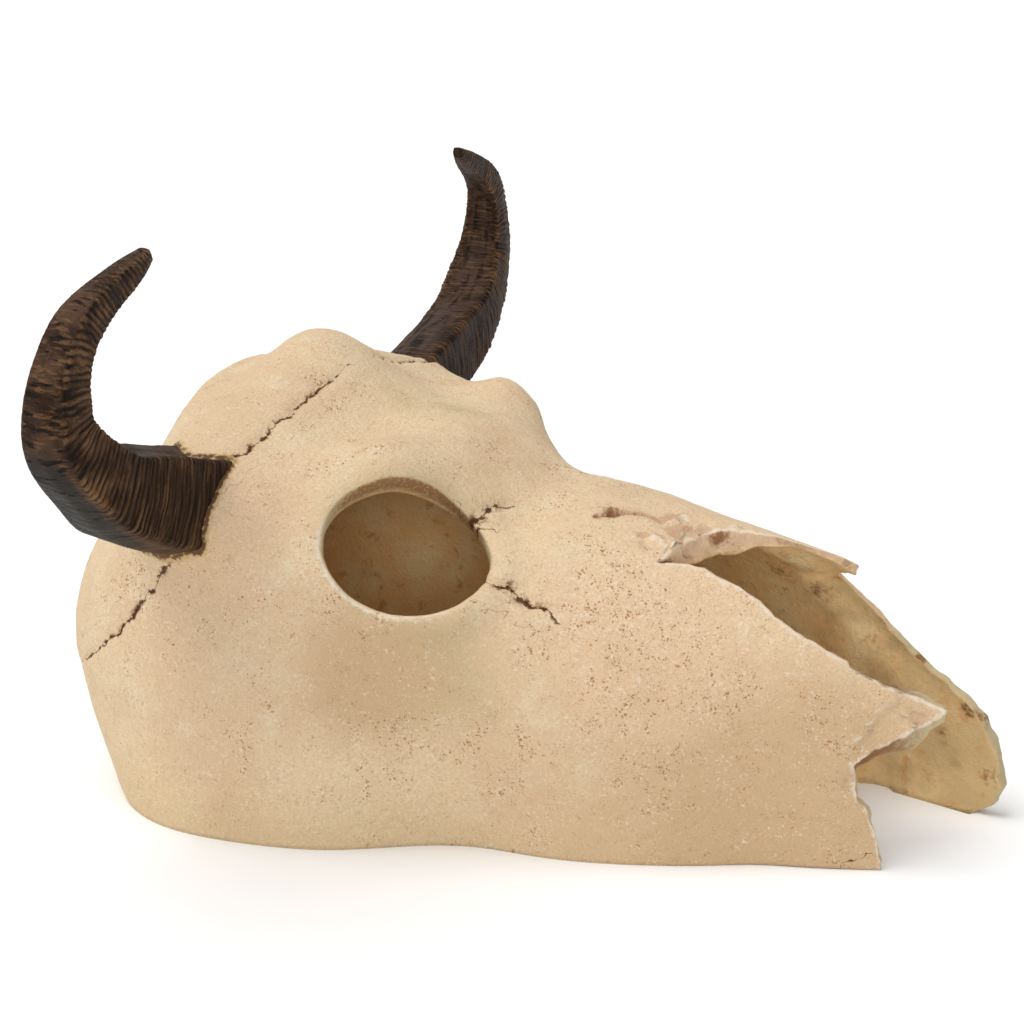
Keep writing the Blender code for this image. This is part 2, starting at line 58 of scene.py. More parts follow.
# %% Camera
AZIMUTH = math.radians(22)
ELEVATION = math.radians(16)
CAMERA_DISTANCE = 0.532
CAMERA_TARGET = Vector((-0.0033, -0.0068, 0.062))
FOCAL_PIXELS = 2500 / 1024    # focal length as a share of the picture's width
SENSOR = 36.0
back = Vector((math.sin(AZIMUTH) * math.cos(ELEVATION), -math.cos(AZIMUTH) * math.cos(ELEVATION),
               math.sin(ELEVATION)))
lens = bpy.data.cameras.new("camera")
lens.sensor_width = SENSOR
lens.lens = FOCAL_PIXELS * SENSOR
camera = bpy.data.objects.new("camera", lens)
camera.location = CAMERA_TARGET + back * CAMERA_DISTANCE
camera.rotation_mode = "QUATERNION"
camera.rotation_quaternion = (-back).to_track_quat("-Z", "Y")
bpy.context.scene.collection.objects.link(camera)
bpy.context.scene.camera = camera
bpy.context.scene.view_settings.view_transform = "Standard"
print("camera at", [round(v, 3) for v in camera.location])

# %% Floor and lights
FLOOR_HALF = 6.0
FLOOR_WHITE = (0.96, 0.96, 0.96)
FLOOR_ROUGHNESS = 0.9
SKY = 0.52                # strength of the even white light from all round
LIGHTS = {                # direction that it comes from, width in degrees, strength
    "key": ((-0.55, -0.35, 1.5), 45, 2.0),
    "fill": ((0.361, -0.891, 0.276), 14, 0.5),
}


def plain_material(name, colour, roughness):
    """Material of one colour, for the floor only."""
    made = bpy.data.materials.new(name)
    made.use_nodes = True
    shader = made.node_tree.nodes["Principled BSDF"]
    shader.inputs["Base Color"].default_value = (*colour, 1)
    shader.inputs["Roughness"].default_value = roughness
    return made


def stage():
    """White floor, white surroundings and two soft lights."""
    mesh = bpy.data.meshes.new("floor")
    reach = FLOOR_HALF
    mesh.from_pydata([(-reach, -reach, 0), (reach, -reach, 0), (reach, reach, 0), (-reach, reach, 0)],
                     [], [(0, 1, 2, 3)])
    floor = bpy.data.objects.new("floor", mesh)
    bpy.context.scene.collection.objects.link(floor)
    mesh.materials.append(plain_material("white floor", FLOOR_WHITE, FLOOR_ROUGHNESS))
    world = bpy.data.worlds.new("surroundings")
    world.use_nodes = True
    world.node_tree.nodes["Background"].inputs["Color"].default_value = (1, 1, 1, 1)
    world.node_tree.nodes["Background"].inputs["Strength"].default_value = SKY
    bpy.context.scene.world = world
    for name, (direction, width, strength) in LIGHTS.items():
        light = bpy.data.lights.new(name, "SUN")
        light.angle = math.radians(width)
        light.energy = strength
        lamp = bpy.data.objects.new(name, light)
        lamp.location = direction
        lamp.rotation_mode = "QUATERNION"
        lamp.rotation_quaternion = (-Vector(direction)).to_track_quat("-Z", "Y")
        bpy.context.scene.collection.objects.link(lamp)


stage()
print("lights:", list(LIGHTS))

# %% [markdown]
# ## The skull's shape
# A skull like this could be sculpted, but it is also a tube of arches: at each place along its
# length, the outline across it is two upright walls under a vault. So the surface is a function of
# two parameters: u runs from the back of the head (0) by the horns (0.3) to the nose (1), and v runs
# around, from the right rim (-1) over the crest (0) to the left rim (1). Curves give the crest's
# height, the rim's half width, the walls' height and the squareness of the vault. The back closes
# like the end of a rounded box. A list of soft swellings then adds the poll, the horns' bosses, the
# brows and the hollows between them. These are the sizes that the solid model was made to.

# %% Curves of the skull
POLL_X = -46.0            # the widest section, between the horns
NOSE_X = 104.0
BACK_LENGTH = 38.1        # from the widest section to the back of the rim
BACK_SHARE = 0.30         # the part of u behind that section
BACK_POWER = 2.4          # squareness of the back's outline on the floor
BACK_ARCH_POWER = 2.3     # and of the vault at its end
BACK_WALL = 0.86          # share of the walls' height that is left at its end
BACK_ROUNDING = 0.8       # power by which the vault comes down to it
ARC_LENGTH = 1.025        # rough length of a vault's arc, over that of the straight line
UNDER_FLOOR = 3.0         # v = 1 and -1 lie this far under the floor
TINY = 1e-6


def smooth(t):
    """Smooth step 3t^2 - 2t^3 from 0 to 1, for t from 0 to 1."""
    return t * t * (3 - 2 * t)


def unit(vectors):
    """Vectors made one long."""
    return vectors / np.linalg.norm(vectors, axis=-1, keepdims=True)


def running(steps):
    """Sums of the steps up to each place, from nought."""
    return np.concatenate([[0], np.cumsum(steps)])


def falloff(x):
    """exp(-x^2): 1 at nought, and nearly nothing at 2 on both sides of it."""
    return np.exp(-x ** 2)


def through(stations, values, level=False):
    """Smooth curve through (station, value) pairs: a cubic between each two, whose slopes are the
    mean of the neighbouring rises. With level, it starts out level."""
    s = np.asarray(stations, float)
    v = np.asarray(values, float)
    step = np.diff(s)
    rise = np.diff(v) / step
    slope = np.empty_like(v)
    slope[1:-1] = (rise[:-1] * step[1:] + rise[1:] * step[:-1]) / (s[2:] - s[:-2])
    slope[0] = 0.0 if level else rise[0]
    slope[-1] = rise[-1]

    def curve(x):
        x = np.clip(x, s[0], s[-1])
        i = np.clip(np.searchsorted(s, x) - 1, 0, len(s) - 2)
        t = (x - s[i]) / step[i]
        start = v[i] * (1 + 2 * t) * (1 - t) ** 2 + slope[i] * step[i] * t * (1 - t) ** 2
        end = v[i + 1] * t * t * (3 - 2 * t) + slope[i + 1] * step[i] * t * t * (t - 1)
        return start + end

    return curve


CREST = through([-46, -32, -19, -8, 0, 8, 17, 28, 40, 62, 74, 86, 95, 104],
                [91, 88.5, 84, 80, 75, 70, 67.6, 65.9, 63.9, 59.1, 55.6, 47, 41, 35], level=True)
HALF_WIDTH = through([-46, -27, -8, 15, 37, 63, 87, 100, 104],
                     [58, 56, 49.5, 44, 38.5, 29.5, 21.5, 17, 15.5], level=True)
UPRIGHT = through([-46, -12, 15, 38, 60, 72, 104], [44, 40, 28, 20, 14, 10, 6], level=True)
POWER = through([-46, -30, -12, 5, 20, 38, 72, 104],
                [2.5, 2.45, 2.6, 2.3, 2.1, 1.9, 1.9, 2.0], level=True)
BACK_OVERHANG = through([0, 18, 36, 55, 72, 84, 95, 110], [2.4, 10.6, 13.6, 7.6, -3.5, -4.5, 3.5, 4])
print("crest over the forehead and the nose, in mm:", np.round(CREST(np.array([-20, 60])), 1))

# %% Swellings, belly and eye lips
# Each swelling: centre, radii, direction, height. One with y = 0 stands on the midline.
SWELLINGS = {
    "poll": ((-49.5, 0, 96), (11.5, 17, 10), (0, 0, 1), 7.8),
    "crown": ((-39, 0, 94), (7, 14, 10), (0, 0, 1), 1.6),
    "nape knob": ((-70, 0, 86), (9, 31, 14), (-0.7, 0, 0.7), 4.3),
    "poll dip": ((-61, 14, 93), (4.5, 13, 12), (0, 0, -1), 2.6),
    "horn boss": ((-50, 50, 74), (15, 13, 14), (0, 1, -0.15), 13.5),
    "brow": ((-18, 31, 79), (9, 10, 9), (0, 0.3, 1), 4.0),
    "brow front": ((-1, 34, 70), (7, 9, 14), (0, -0.5, -1), 5.0),
    "forehead hollow": ((-29, 22, 87), (17, 19, 10), (0, 0, -1), 6.0),
    "nose root": ((5, 22, 71), (10, 11, 12), (0, 0, -1), 5.0),
    "jaw hollow": ((4, 50, 2), (16, 14, 20), (0, -1, 0), 5.0),
    "muzzle hollow": ((62, 30, 2), (9, 8, 9), (0, -1, 0), 1.2),
    "cheek hollow": ((-10, 52, 38), (24, 14, 12), (0, -1, 0), 2.0),
}
BELLY = (2.2, 31.0, 20.0)     # height over the rim, its middle's z, and its spread
BELLY_FRONT = 60.0
BELLY_INNER = 30.0
OVERHANG_CURVED = 0.35
OVERHANG_POWER = 1.5
EYE_CENTRE = np.array([-8.5, -43.2, 63.0])
EYE_ALONG = unit(np.array([0.899, 0.414, -0.143]))
EYE_UP = unit(np.array([-0.091, 0.497, 0.863]))
EYE_FACING = np.cross(EYE_ALONG, EYE_UP)
EYE_HALF = (17.5, 14.0)
EYE_LIP = (1.6, 1.1, 0.2, 12.0)   # height, radius and width in hole sizes, reach off the plane
print("swellings:", list(SWELLINGS))


# %% Arches
def superellipse(angle, power):
    """Point in the direction of an angle on the curve |c|^power + |s|^power = 1."""
    c, s = np.cos(angle), np.sin(angle)
    radius = (np.abs(c) ** power + np.abs(s) ** power) ** (-1 / power)
    return radius * c, radius * s


def arch_sizes(u):
    """Half width, wall height, crest height, squareness and place x of the arch at u."""
    behind = u < BACK_SHARE
    back_c, back_s = superellipse(np.clip(u / BACK_SHARE, 0, 1) * math.pi / 2, BACK_POWER)
    x_front = POLL_X + (NOSE_X - POLL_X) * np.clip((u - BACK_SHARE) / (1 - BACK_SHARE), 0, 1)
    x = np.where(behind, POLL_X - BACK_LENGTH * back_c, x_front)
    full = np.where(behind, back_s, 1.0)
    half = HALF_WIDTH(x_front) * full
    wall = UPRIGHT(x_front) * (BACK_WALL + (1 - BACK_WALL) * full)
    vault_height = (CREST(x_front) - UPRIGHT(x_front)) * full ** BACK_ROUNDING
    height = np.where(behind, wall + vault_height, CREST(x_front))
    power = BACK_ARCH_POWER + (POWER(x_front) - BACK_ARCH_POWER) * full
    vault = ARC_LENGTH * np.hypot(half, height - wall) + TINY
    return x, half, wall, height, power, wall / (wall + vault)


def arch(u, v):
    """Arches: below the share of v that the wall takes, straight up; above it, a superellipse."""
    x, half, wall, height, power, share = arch_sizes(u)
    around = np.abs(v)
    c, s = superellipse(np.clip(around / (1 - share), 0, 1) * math.pi / 2, power)
    y = np.where(around > 1 - share, half, half * s)
    down = (wall + UNDER_FLOOR) * (1 - around) / share - UNDER_FLOOR
    z = np.where(around > 1 - share, down, wall + (height - wall) * c)
    return np.stack([x, np.where(v < 0, -y, y), z], axis=-1)


def rim(u):
    """The v at which the wall reaches the floor."""
    _, _, wall, _, _, share = arch_sizes(u)
    return 1 - UNDER_FLOOR * share / (wall + UNDER_FLOOR)


print("arch at the forehead's crest, in mm:", np.round(arch(0.45, 0.0), 1))


# %% The whole surface
def eye_place(points, mirror):
    """Place of points in an eye socket's own plane, in hole sizes, and their distance off it."""
    flip = np.array([1, mirror, 1])
    offset = (points - EYE_CENTRE * flip) * flip
    return offset @ EYE_ALONG / EYE_HALF[0], offset @ EYE_UP / EYE_HALF[1], offset @ EYE_FACING


def surface(u, v, lips=True):
    """The skull's outer surface in mm: the arches, moved by the overhang, belly and swellings. Each
    swelling is its height times exp(-distance squared), with the distance measured in its radii."""
    u, v = np.broadcast_arrays(np.asarray(u, float), np.asarray(v, float))
    points = arch(u, v)
    x, y, z = points[..., 0], points[..., 1], points[..., 2]
    behind = np.clip((POLL_X - x) / BACK_LENGTH, 0, 1)
    ease = OVERHANG_CURVED * smooth(behind) + (1 - OVERHANG_CURVED) * behind ** OVERHANG_POWER
    fade = np.clip(1 - x / BELLY_FRONT, 0, 1) * np.clip(np.abs(y) / BELLY_INNER, 0, 1)
    belly = BELLY[0] * falloff((z - BELLY[1]) / BELLY[2]) * fade
    points = points + np.stack([-ease * BACK_OVERHANG(z), 0 * x, 0 * x], axis=-1)
    points = points + np.stack([0 * x, np.sign(y) * belly, 0 * x], axis=-1)
    total = np.zeros_like(points)
    for centre, radii, direction, height in SWELLINGS.values():
        for mirror in ((1, -1) if centre[1] else (1,)):
            flip = np.array([1, mirror, 1])
            offset = (points - np.array(centre) * flip) / np.array(radii)
            bell = np.exp(-(offset ** 2).sum(axis=-1))
            total += height * bell[..., None] * np.array(direction, float) * flip
    points = points + total
    for mirror in ((1, -1) if lips else ()):
        along, up, off = eye_place(points, mirror)
        lip_height, radius, width, reach = EYE_LIP
        lip = lip_height * falloff((np.hypot(along, up) - radius) / width) * falloff(off / reach)
        points = points + lip[..., None] * EYE_FACING * np.array([1, mirror, 1])
    return points


print("surface at the right cheek, in mm:", np.round(surface(0.5, -0.8), 1))

# %% [markdown]
# ## A grid over the skull
# The surface is covered with nearly square quads of one size. Columns cross it at chosen u and rows
# run along it at chosen v. Two things break a plain grid. At the nose the wall is broken off along
# ragged edges, so two patches fill the space between their four edges each (Coons patches), with a
# slit between them. At the eye sockets a block of cells is left out, and the cells around it are
# drawn towards the round edge: a square block becomes an ellipse, and the pull fades out away from it.

# %% Rows and columns
QUAD = 0.95               # size of a quad in mm
NOTCH = (0.684, -0.243)   # where the right wall parts from the nose bridge
SPIKE = (0.961, -0.392)
RIGHT_LOW = (0.916, -0.959)
BRIDGE_TIP = (0.851, 0.11)
LEFT_LOW = (0.970, 0.952)
RIGHT_TOP_EDGE = [NOTCH, (0.715, -0.225), (0.765, -0.265), (0.828, -0.38), (0.875, -0.423),
                  (0.92, -0.407), SPIKE]
RIGHT_FRONT_EDGE = [RIGHT_LOW, (0.915, -0.933), (0.911, -0.881), (0.906, -0.836), (0.901, -0.792),
                    (0.892, -0.772), (0.889, -0.744), (0.884, -0.685), (0.93, -0.538), SPIKE]
BRIDGE_EDGE = [NOTCH, (0.692, -0.188), (0.704, -0.122), (0.722, -0.06), (0.745, -0.02),
               (0.77, 0.01), (0.80, 0.045), (0.83, 0.08), BRIDGE_TIP]
LEFT_FRONT_EDGE = [BRIDGE_TIP, (0.838, 0.23), (0.822, 0.302), (0.852, 0.413), (0.889, 0.475),
                   (0.93, 0.515), (0.954, 0.53), (0.976, 0.572), (0.988, 0.672), (0.995, 0.82),
                   (0.988, 0.90), LEFT_LOW]
U_TO_LENGTH = 214.0       # rough millimetres per unit of u and of v
V_TO_LENGTH = 60.0
SAMPLES = 400             # points at which lengths are measured
MEASURED_V = 0.95         # rows and columns are measured up to this v, from this u on, along so many
MEASURED_U = 0.15         # lines
MEASURED_LINES = 41


def even_count(length):
    """Even number of steps of about one quad's size."""
    return 2 * round(length / QUAD / 2)


def spread(lines, low, high):
    """Stops from low to high that cut a family of curves into steps of equal mean length."""
    fine = np.linspace(low, high, SAMPLES)
    steps = np.linalg.norm(np.diff(lines(fine), axis=0), axis=-1).mean(axis=1)
    travelled = running(steps)
    return np.interp(np.linspace(0, travelled[-1], even_count(travelled[-1]) + 1), travelled, fine)


def spaced(line, t):
    """Points at the shares t of the length of an edge given in (u, v)."""
    line = np.array(line, float)
    lengths = np.hypot(*(np.diff(line, axis=0) * [U_TO_LENGTH, V_TO_LENGTH]).T)
    travelled = running(lengths) / lengths.sum()
    return np.stack([np.interp(t, travelled, line[:, 0]), np.interp(t, travelled, line[:, 1])], axis=-1)


def patch(bottom, top, left, right, s, t):
    """Coons patch: the sum of the two blends between opposite edges, less the blend of the corners."""
    low, high = spaced(bottom, s)[:, None], spaced(top, s)[:, None]
    near, far = spaced(left, t)[None], spaced(right, t)[None]
    s, t = s[:, None, None], t[None, :, None]
    corners = [np.array(corner) for corner in (bottom[0], bottom[-1], top[0], top[-1])]
    blend = ((1 - s) * (1 - t) * corners[0] + s * (1 - t) * corners[1]
             + (1 - s) * t * corners[2] + s * t * corners[3])
    return (1 - t) * low + t * high + (1 - s) * near + s * far - blend


print("patches meet at u, v:", NOTCH)


# %% Columns and rows of one quad size
def side_v(u, t):
    """v on the right wall, from the rim (t = 0) up to the notch's row (t = 1)."""
    return -rim(u) * (1 - t) + NOTCH[1] * t


across = np.linspace(-MEASURED_V, MEASURED_V, MEASURED_LINES)[None, :]
lengthwise = np.linspace(MEASURED_U, NOTCH[0], MEASURED_LINES)[None, :]
columns = spread(lambda u: surface(u[:, None], across), 0, NOTCH[0])
side_rows = spread(lambda t: surface(lengthwise, side_v(lengthwise, t[:, None])), 0, 1)
crown_rows = spread(lambda v: surface(lengthwise, v[:, None]), NOTCH[1], -NOTCH[1])
nose_column_count = even_count((RIGHT_TOP_EDGE[-1][0] - NOTCH[0]) * U_TO_LENGTH)
nose_columns = np.linspace(0, 1, nose_column_count + 1)
print("columns:", len(columns), "side rows:", len(side_rows), "crown rows:", len(crown_rows),
      "nose columns:", len(nose_columns))

# %% Charts in (u, v)
right_v = side_v(columns[:, None], side_rows[None, :])
crown_v = np.broadcast_to(crown_rows[1:-1], (len(columns), len(crown_rows) - 2))
all_v = np.concatenate([right_v, crown_v, -right_v[:, ::-1]], axis=1)
main_uv = np.stack([np.broadcast_to(columns[:, None], all_v.shape), all_v], axis=-1)
NOTCH_ROW = len(side_rows) - 1
NOTCH_COLUMN = len(columns) - 1
ROWS = main_uv.shape[1] - 1
floor_at_notch = float(rim(np.array(NOTCH[0])))
right_uv = patch([(NOTCH[0], -floor_at_notch), RIGHT_LOW], RIGHT_TOP_EDGE,
                 [tuple(place) for place in main_uv[-1, :NOTCH_ROW + 1:NOTCH_ROW]], RIGHT_FRONT_EDGE,
                 nose_columns, side_rows)
left_rows = running(np.abs(np.diff(main_uv[-1, NOTCH_ROW:, 1])))
left_rows /= left_rows[-1]
left_uv = patch(BRIDGE_EDGE, [(NOTCH[0], floor_at_notch), LEFT_LOW],
                [NOTCH, (NOTCH[0], floor_at_notch)], LEFT_FRONT_EDGE, nose_columns, left_rows)
print("charts:", main_uv.shape, right_uv.shape, left_uv.shape)

# %% Places in an eye socket's plane
WALL = 4.5
EYE_BLOCK = 0.886         # half size of the square block whose area is that of the unit circle
EYE_BLEND = 1.9           # the pull ends at this many block sizes from the socket's middle
EYE_OUTER = 1.02          # edge of the hole on the outer surface, in hole sizes
EYE_INNER = np.array([1.02, 0.94])    # and on the inner one
EYE_INNER_SHIFT = np.array([0.03, 0.0])
EYE_TOP_LIFT = 0.12       # the outer edge is drawn up at the top, by this share of its height squared
NEWTON_STEPS = 6
NUDGE = 1e-4


def inside_surface(u, v):
    """The plain surface moved in by the wall, along the cross product of its two tangents."""
    along_u = surface(u + NUDGE, v, lips=False) - surface(u - NUDGE, v, lips=False)
    along_v = surface(u, v + NUDGE, lips=False) - surface(u, v - NUDGE, lips=False)
    normal = np.cross(along_u, along_v)
    normal /= np.linalg.norm(normal, axis=-1, keepdims=True) + TINY
    return surface(u, v, lips=False) - WALL * normal


def eye_uv(shape, uv):
    """Places of a surface's points, read in the right socket's plane."""
    along, up, _ = eye_place(shape(uv[..., 0], uv[..., 1]), 1)
    return np.stack([along, up], axis=-1)


def solve_place(shape, start, goal):
    """Newton's method: the (u, v) at which a surface's place in the socket's plane is the goal."""
    uv = start.copy()
    for _ in range(NEWTON_STEPS):
        here = eye_uv(shape, uv)
        du = (eye_uv(shape, uv + [NUDGE, 0]) - here) / NUDGE
        dv = (eye_uv(shape, uv + [0, NUDGE]) - here) / NUDGE
        miss = goal - here
        area = du[..., 0] * dv[..., 1] - du[..., 1] * dv[..., 0]
        uv[..., 0] += (miss[..., 0] * dv[..., 1] - miss[..., 1] * dv[..., 0]) / area
        uv[..., 1] += (miss[..., 1] * du[..., 0] - miss[..., 0] * du[..., 1]) / area
    return uv


def block_range(values):
    """Even numbers of the lines between which values stay inside the block."""
    inside = np.flatnonzero(np.abs(values) < EYE_BLOCK)
    return 2 * (inside[0] // 2), 2 * (inside[-1] // 2 + 1)


print("plain inside at the right cheek, in mm:", np.round(inside_surface(0.5, -0.8), 1))

# %% Draw the grid in around the eye sockets
right_half = main_uv[:, :ROWS // 2].copy()
facing_side = eye_uv(surface, right_half)
off_plane = eye_place(surface(right_half[..., 0], right_half[..., 1]), 1)[2]
FAR_OFF = 10.0            # added where a point lies on the other side of the head
distance = np.hypot(facing_side[..., 0], facing_side[..., 1]) + FAR_OFF * (np.abs(off_plane) > EYE_LIP[3])
middle = np.unravel_index(np.argmin(distance), distance.shape)
column_range = block_range(facing_side[:, middle[1], 0] + (distance[:, middle[1]] > FAR_OFF))
row_range = block_range(facing_side[middle[0], :, 1] + FAR_OFF * (distance[middle[0]] > FAR_OFF))
eye_low, eye_high = np.array([column_range, row_range]).T
block_half = (eye_high - eye_low) / 2
steps_off = np.stack(np.meshgrid(*[np.arange(n) for n in right_half.shape[:2]], indexing="ij"), axis=-1)
block = (np.abs(steps_off - (eye_low + eye_high) / 2) / block_half).max(axis=-1)
drawn = (block >= 1 - TINY) & (block < EYE_BLEND)
ease = smooth(np.clip((block[drawn] - 1) / (EYE_BLEND - 1), 0, 1))[:, None]
reach = np.linalg.norm(facing_side[drawn], axis=-1, keepdims=True)
factor = (1 - ease) * EYE_OUTER * block[drawn][:, None] / reach + ease
centre_uv = right_half[middle]
start = centre_uv + (right_half[drawn] - centre_uv) * factor
goal = facing_side[drawn] * factor
outer_uv, inner_uv = right_half.copy(), right_half.copy()
lifted = goal + (1 - ease) * np.clip(goal, 0, None) ** 2 * [0, EYE_TOP_LIFT]
outer_uv[drawn] = solve_place(surface, start, lifted)
hole_inside = goal * EYE_INNER / EYE_OUTER + EYE_INNER_SHIFT
goal_inside = (1 - ease) * hole_inside + ease * eye_uv(inside_surface, right_half[drawn])
inner_uv[drawn] = solve_place(inside_surface, outer_uv[drawn], goal_inside)


def both_halves(half):
    """A chart from its right half: the left half is its mirror image."""
    return np.concatenate([half, main_uv[:, ROWS // 2:ROWS // 2 + 1], (half * [1, -1])[:, ::-1]], axis=1)


drawn_uv = both_halves(outer_uv)
print("eye block:", eye_low, eye_high, "points drawn in:", int(drawn.sum()))

# %% Number the points
# Both halves of the back meet in one fold, and the nose patches share the last column.
main_ids = np.arange(main_uv[..., 0].size).reshape(main_uv.shape[:2])
main_ids[0, ROWS // 2 + 1:] = main_ids[0, :ROWS // 2][::-1]


def join_patch(uv, first_column, start):
    """Numbers for a patch whose first column is already numbered."""
    fresh = start + np.arange(uv[1:, :, 0].size).reshape(uv[1:].shape[:2])
    return np.concatenate([first_column[None], fresh])


right_ids = join_patch(right_uv, main_ids[-1, :NOTCH_ROW + 1], main_ids.size)
left_ids = join_patch(left_uv, main_ids[-1, NOTCH_ROW:], right_ids.max() + 1)
places = np.zeros((left_ids.max() + 1, 2))
for ids, uv in ((right_ids, right_uv), (left_ids, left_uv), (main_ids[:, ::-1], drawn_uv[:, ::-1])):
    places[ids] = uv
drawn_ids = np.concatenate([main_ids[:, :ROWS // 2][drawn], main_ids[:, :ROWS // 2:-1][drawn]])
drawn_inner = np.concatenate([inner_uv[drawn], inner_uv[drawn] * [1, -1]])
cell_kept = np.ones((NOTCH_COLUMN, ROWS), bool)
cell_kept[eye_low[0]:eye_high[0], eye_low[1]:eye_high[1]] = False
cell_kept &= cell_kept[:, ::-1]


def quads(ids, kept=None):
    """Quads of a chart, facing outward."""
    cells = np.stack([ids[:-1, :-1], ids[1:, :-1], ids[1:, 1:], ids[:-1, 1:]], axis=-1)
    return cells[kept] if kept is not None else cells.reshape(-1, 4)


outer_quads = np.concatenate([quads(main_ids, cell_kept), quads(right_ids), quads(left_ids)])
coarse_kept = cell_kept[::2, ::2]
inner_quads = np.concatenate([quads(main_ids[::2, ::2], coarse_kept), quads(right_ids[::2, ::2]),
                              quads(left_ids[::2, ::2])])
print("quads outside:", len(outer_quads), "inside:", len(inner_quads))

# %% [markdown]
# ## Noise
# Weathered bone is uneven at every scale. Value noise gives that unevenness a size: random numbers
# sit on a lattice and are blended smoothly between its points. Adding it at halving sizes and
# strengths makes it rough.

# %% Noise
LATTICE_SIZE = 64
LATTICE = np.random.default_rng(11).random((LATTICE_SIZE,) * 3)
OCTAVE_SHIFT = 5.3        # keeps the noises of a sum from lining up


def noise(points, size, shift=0.0):
    """Value noise from -1 to 1: random numbers on a lattice of the given cell size, blended along
    each axis with the smooth step 3f^2 - 2f^3."""
    place = points / size + shift
    cell = np.floor(place).astype(int)
    f = smooth(place - cell)
    total = 0.0
    for corner in itertools.product((0, 1), repeat=3):
        near = (cell + corner) % LATTICE_SIZE
        weight = np.prod(np.where(corner, f, 1 - f), axis=-1)
        total = total + weight * LATTICE[near[..., 0], near[..., 1], near[..., 2]]
    return 2 * total - 1


def rough(points, size, octaves=3, shift=0.0):
    """Sum of noises, each half the size and half the strength of the one before."""
    return sum(noise(points, size / 2 ** k, shift + OCTAVE_SHIFT * k) / 2 ** k for k in range(octaves))


print("noise at three points:", np.round(noise(np.eye(3) * 7.7, 3.0), 3))

# %% [markdown]
# ## Horns' axes
# A horn is a section carried along a curved axis. Its root decides where the skull's collar and its
# staining and painted shade lie, so its shape comes before the skull's skin is finished.

# %% Horn surface
HORN_AXIS = [(-53.9, 43.0, 67.0), (-52.6, 73.2, 77.0), (-50.9, 89.3, 83.9), (-51.4, 101.8, 97.0),
             (-49.9, 97.1, 114.6), (-47.4, 74.6, 125.6)]
HORN_HALF = through([0, 0.25, 0.45, 0.62, 0.78, 0.9, 0.97, 1],
                    [12.0, 10.2, 7.7, 6.1, 4.6, 3.4, 2.4, 1.6])
# Corners of the section, as angle and radius in half sizes, from the front face round by the outer
# face. The back corner's radius changes along the horn: it is low at the left horn's root, high at
# the right one's, and stands out as a third ridge further up.
HORN_SECTION = [(0, 0.88), (45, 1.10), (90, 0.95), (135, 1.13), (180, 0.88), None, (270, 0.80),
                (315, 1.20)]
BACK_ANGLE = {1: 225, -1: 238}
HORN_BACK = {side: through([0, 0.22, 0.34, 0.47, 0.7, 0.85, 1], [root, low, 1.0, 1.26, 1.26, 1.1, 0.9])
             for side, root, low in ((1, 0.84, 0.76), (-1, 1.22, 1.12))}
HORN_SIDES = 120
HORN_RINGS = 560
CORNER_SOFTENING = 2      # sides over which a corner of the section is rounded
ROOT_SHARE = 0.4          # the part of a horn's axis that counts as its root
ROOT_RINGS = 60


def horn_frame(t):
    """Axis point, forward and outward directions at the shares t: a Catmull-Rom curve through the
    axis points, with the section kept square to it."""
    axis = np.array(HORN_AXIS, float)
    count = len(axis) - 1
    ends = np.vstack([2 * axis[0] - axis[1], axis, 2 * axis[-1] - axis[-2]])
    k = np.minimum((t * count).astype(int), count - 1)
    f = (t * count - k)[..., None]
    p0, p1, p2, p3 = ends[k], ends[k + 1], ends[k + 2], ends[k + 3]
    linear, square, cube = p2 - p0, 2 * p0 - 5 * p1 + 4 * p2 - p3, 3 * p1 - p0 - 3 * p2 + p3
    centre = 0.5 * (2 * p1 + linear * f + square * f ** 2 + cube * f ** 3)
    heading = unit(linear + 2 * square * f + 3 * cube * f ** 2)
    outward = unit(np.cross(heading, [1.0, 0, 0]))
    return centre, np.cross(outward, heading), outward


def horn_section(mirror, back):
    """Points of the section: straight faces between eight corners, with the corners softened. The
    back corner's radius is the one given; without it (0) the other corners keep theirs, and with
    only it (1) they have none, so that the two can be added."""
    corners = [corner or (BACK_ANGLE[mirror], None) for corner in HORN_SECTION]
    angle = np.radians([corner[0] for corner in corners] + [360])
    radius = np.array([(back if corner[1] is None else corner[1] * (1 - back)) for corner in corners])
    radius = np.append(radius, radius[0])
    places = np.stack([radius * np.cos(angle), radius * np.sin(angle)], axis=-1)
    stops = np.arange(HORN_SIDES) * len(corners) / HORN_SIDES
    low = stops.astype(int)
    share = (stops - low)[:, None]
    section = places[low] * (1 - share) + places[low + 1] * share
    turns = range(-CORNER_SOFTENING, CORNER_SOFTENING + 1)
    return sum(np.roll(section, turn, axis=0) for turn in turns) / len(turns)


def horn_points(t, mirror):
    """A horn's surface at the shares t (rings) for every side of the section, as a left horn."""
    centre, forward, outward = horn_frame(t)
    section = horn_section(mirror, 0) + HORN_BACK[mirror](t)[..., None] * horn_section(mirror, 1)
    return centre + HORN_HALF(t)[..., None] * (section[..., :1] * forward + section[..., 1:] * outward)


root_shares = np.linspace(0, ROOT_SHARE, ROOT_RINGS)
root_grid = np.broadcast_to(root_shares[:, None], (ROOT_RINGS, HORN_SIDES))
root_points = {side: horn_points(root_grid, side) for side in (1, -1)}
print("horn root samples:", root_points[1].shape)

# %% [markdown]
# ## Cracks
# Fine cracks follow the sutures and run out from the eye socket and the nose. A crack is a path on
# the surface, so each point of the skin is given its distance across the nearest crack, with a sign
# for its side. The distance changes evenly from point to point, so the paint can draw a line much
# finer than the grid where the distance is near nothing. The same distance sinks a groove.

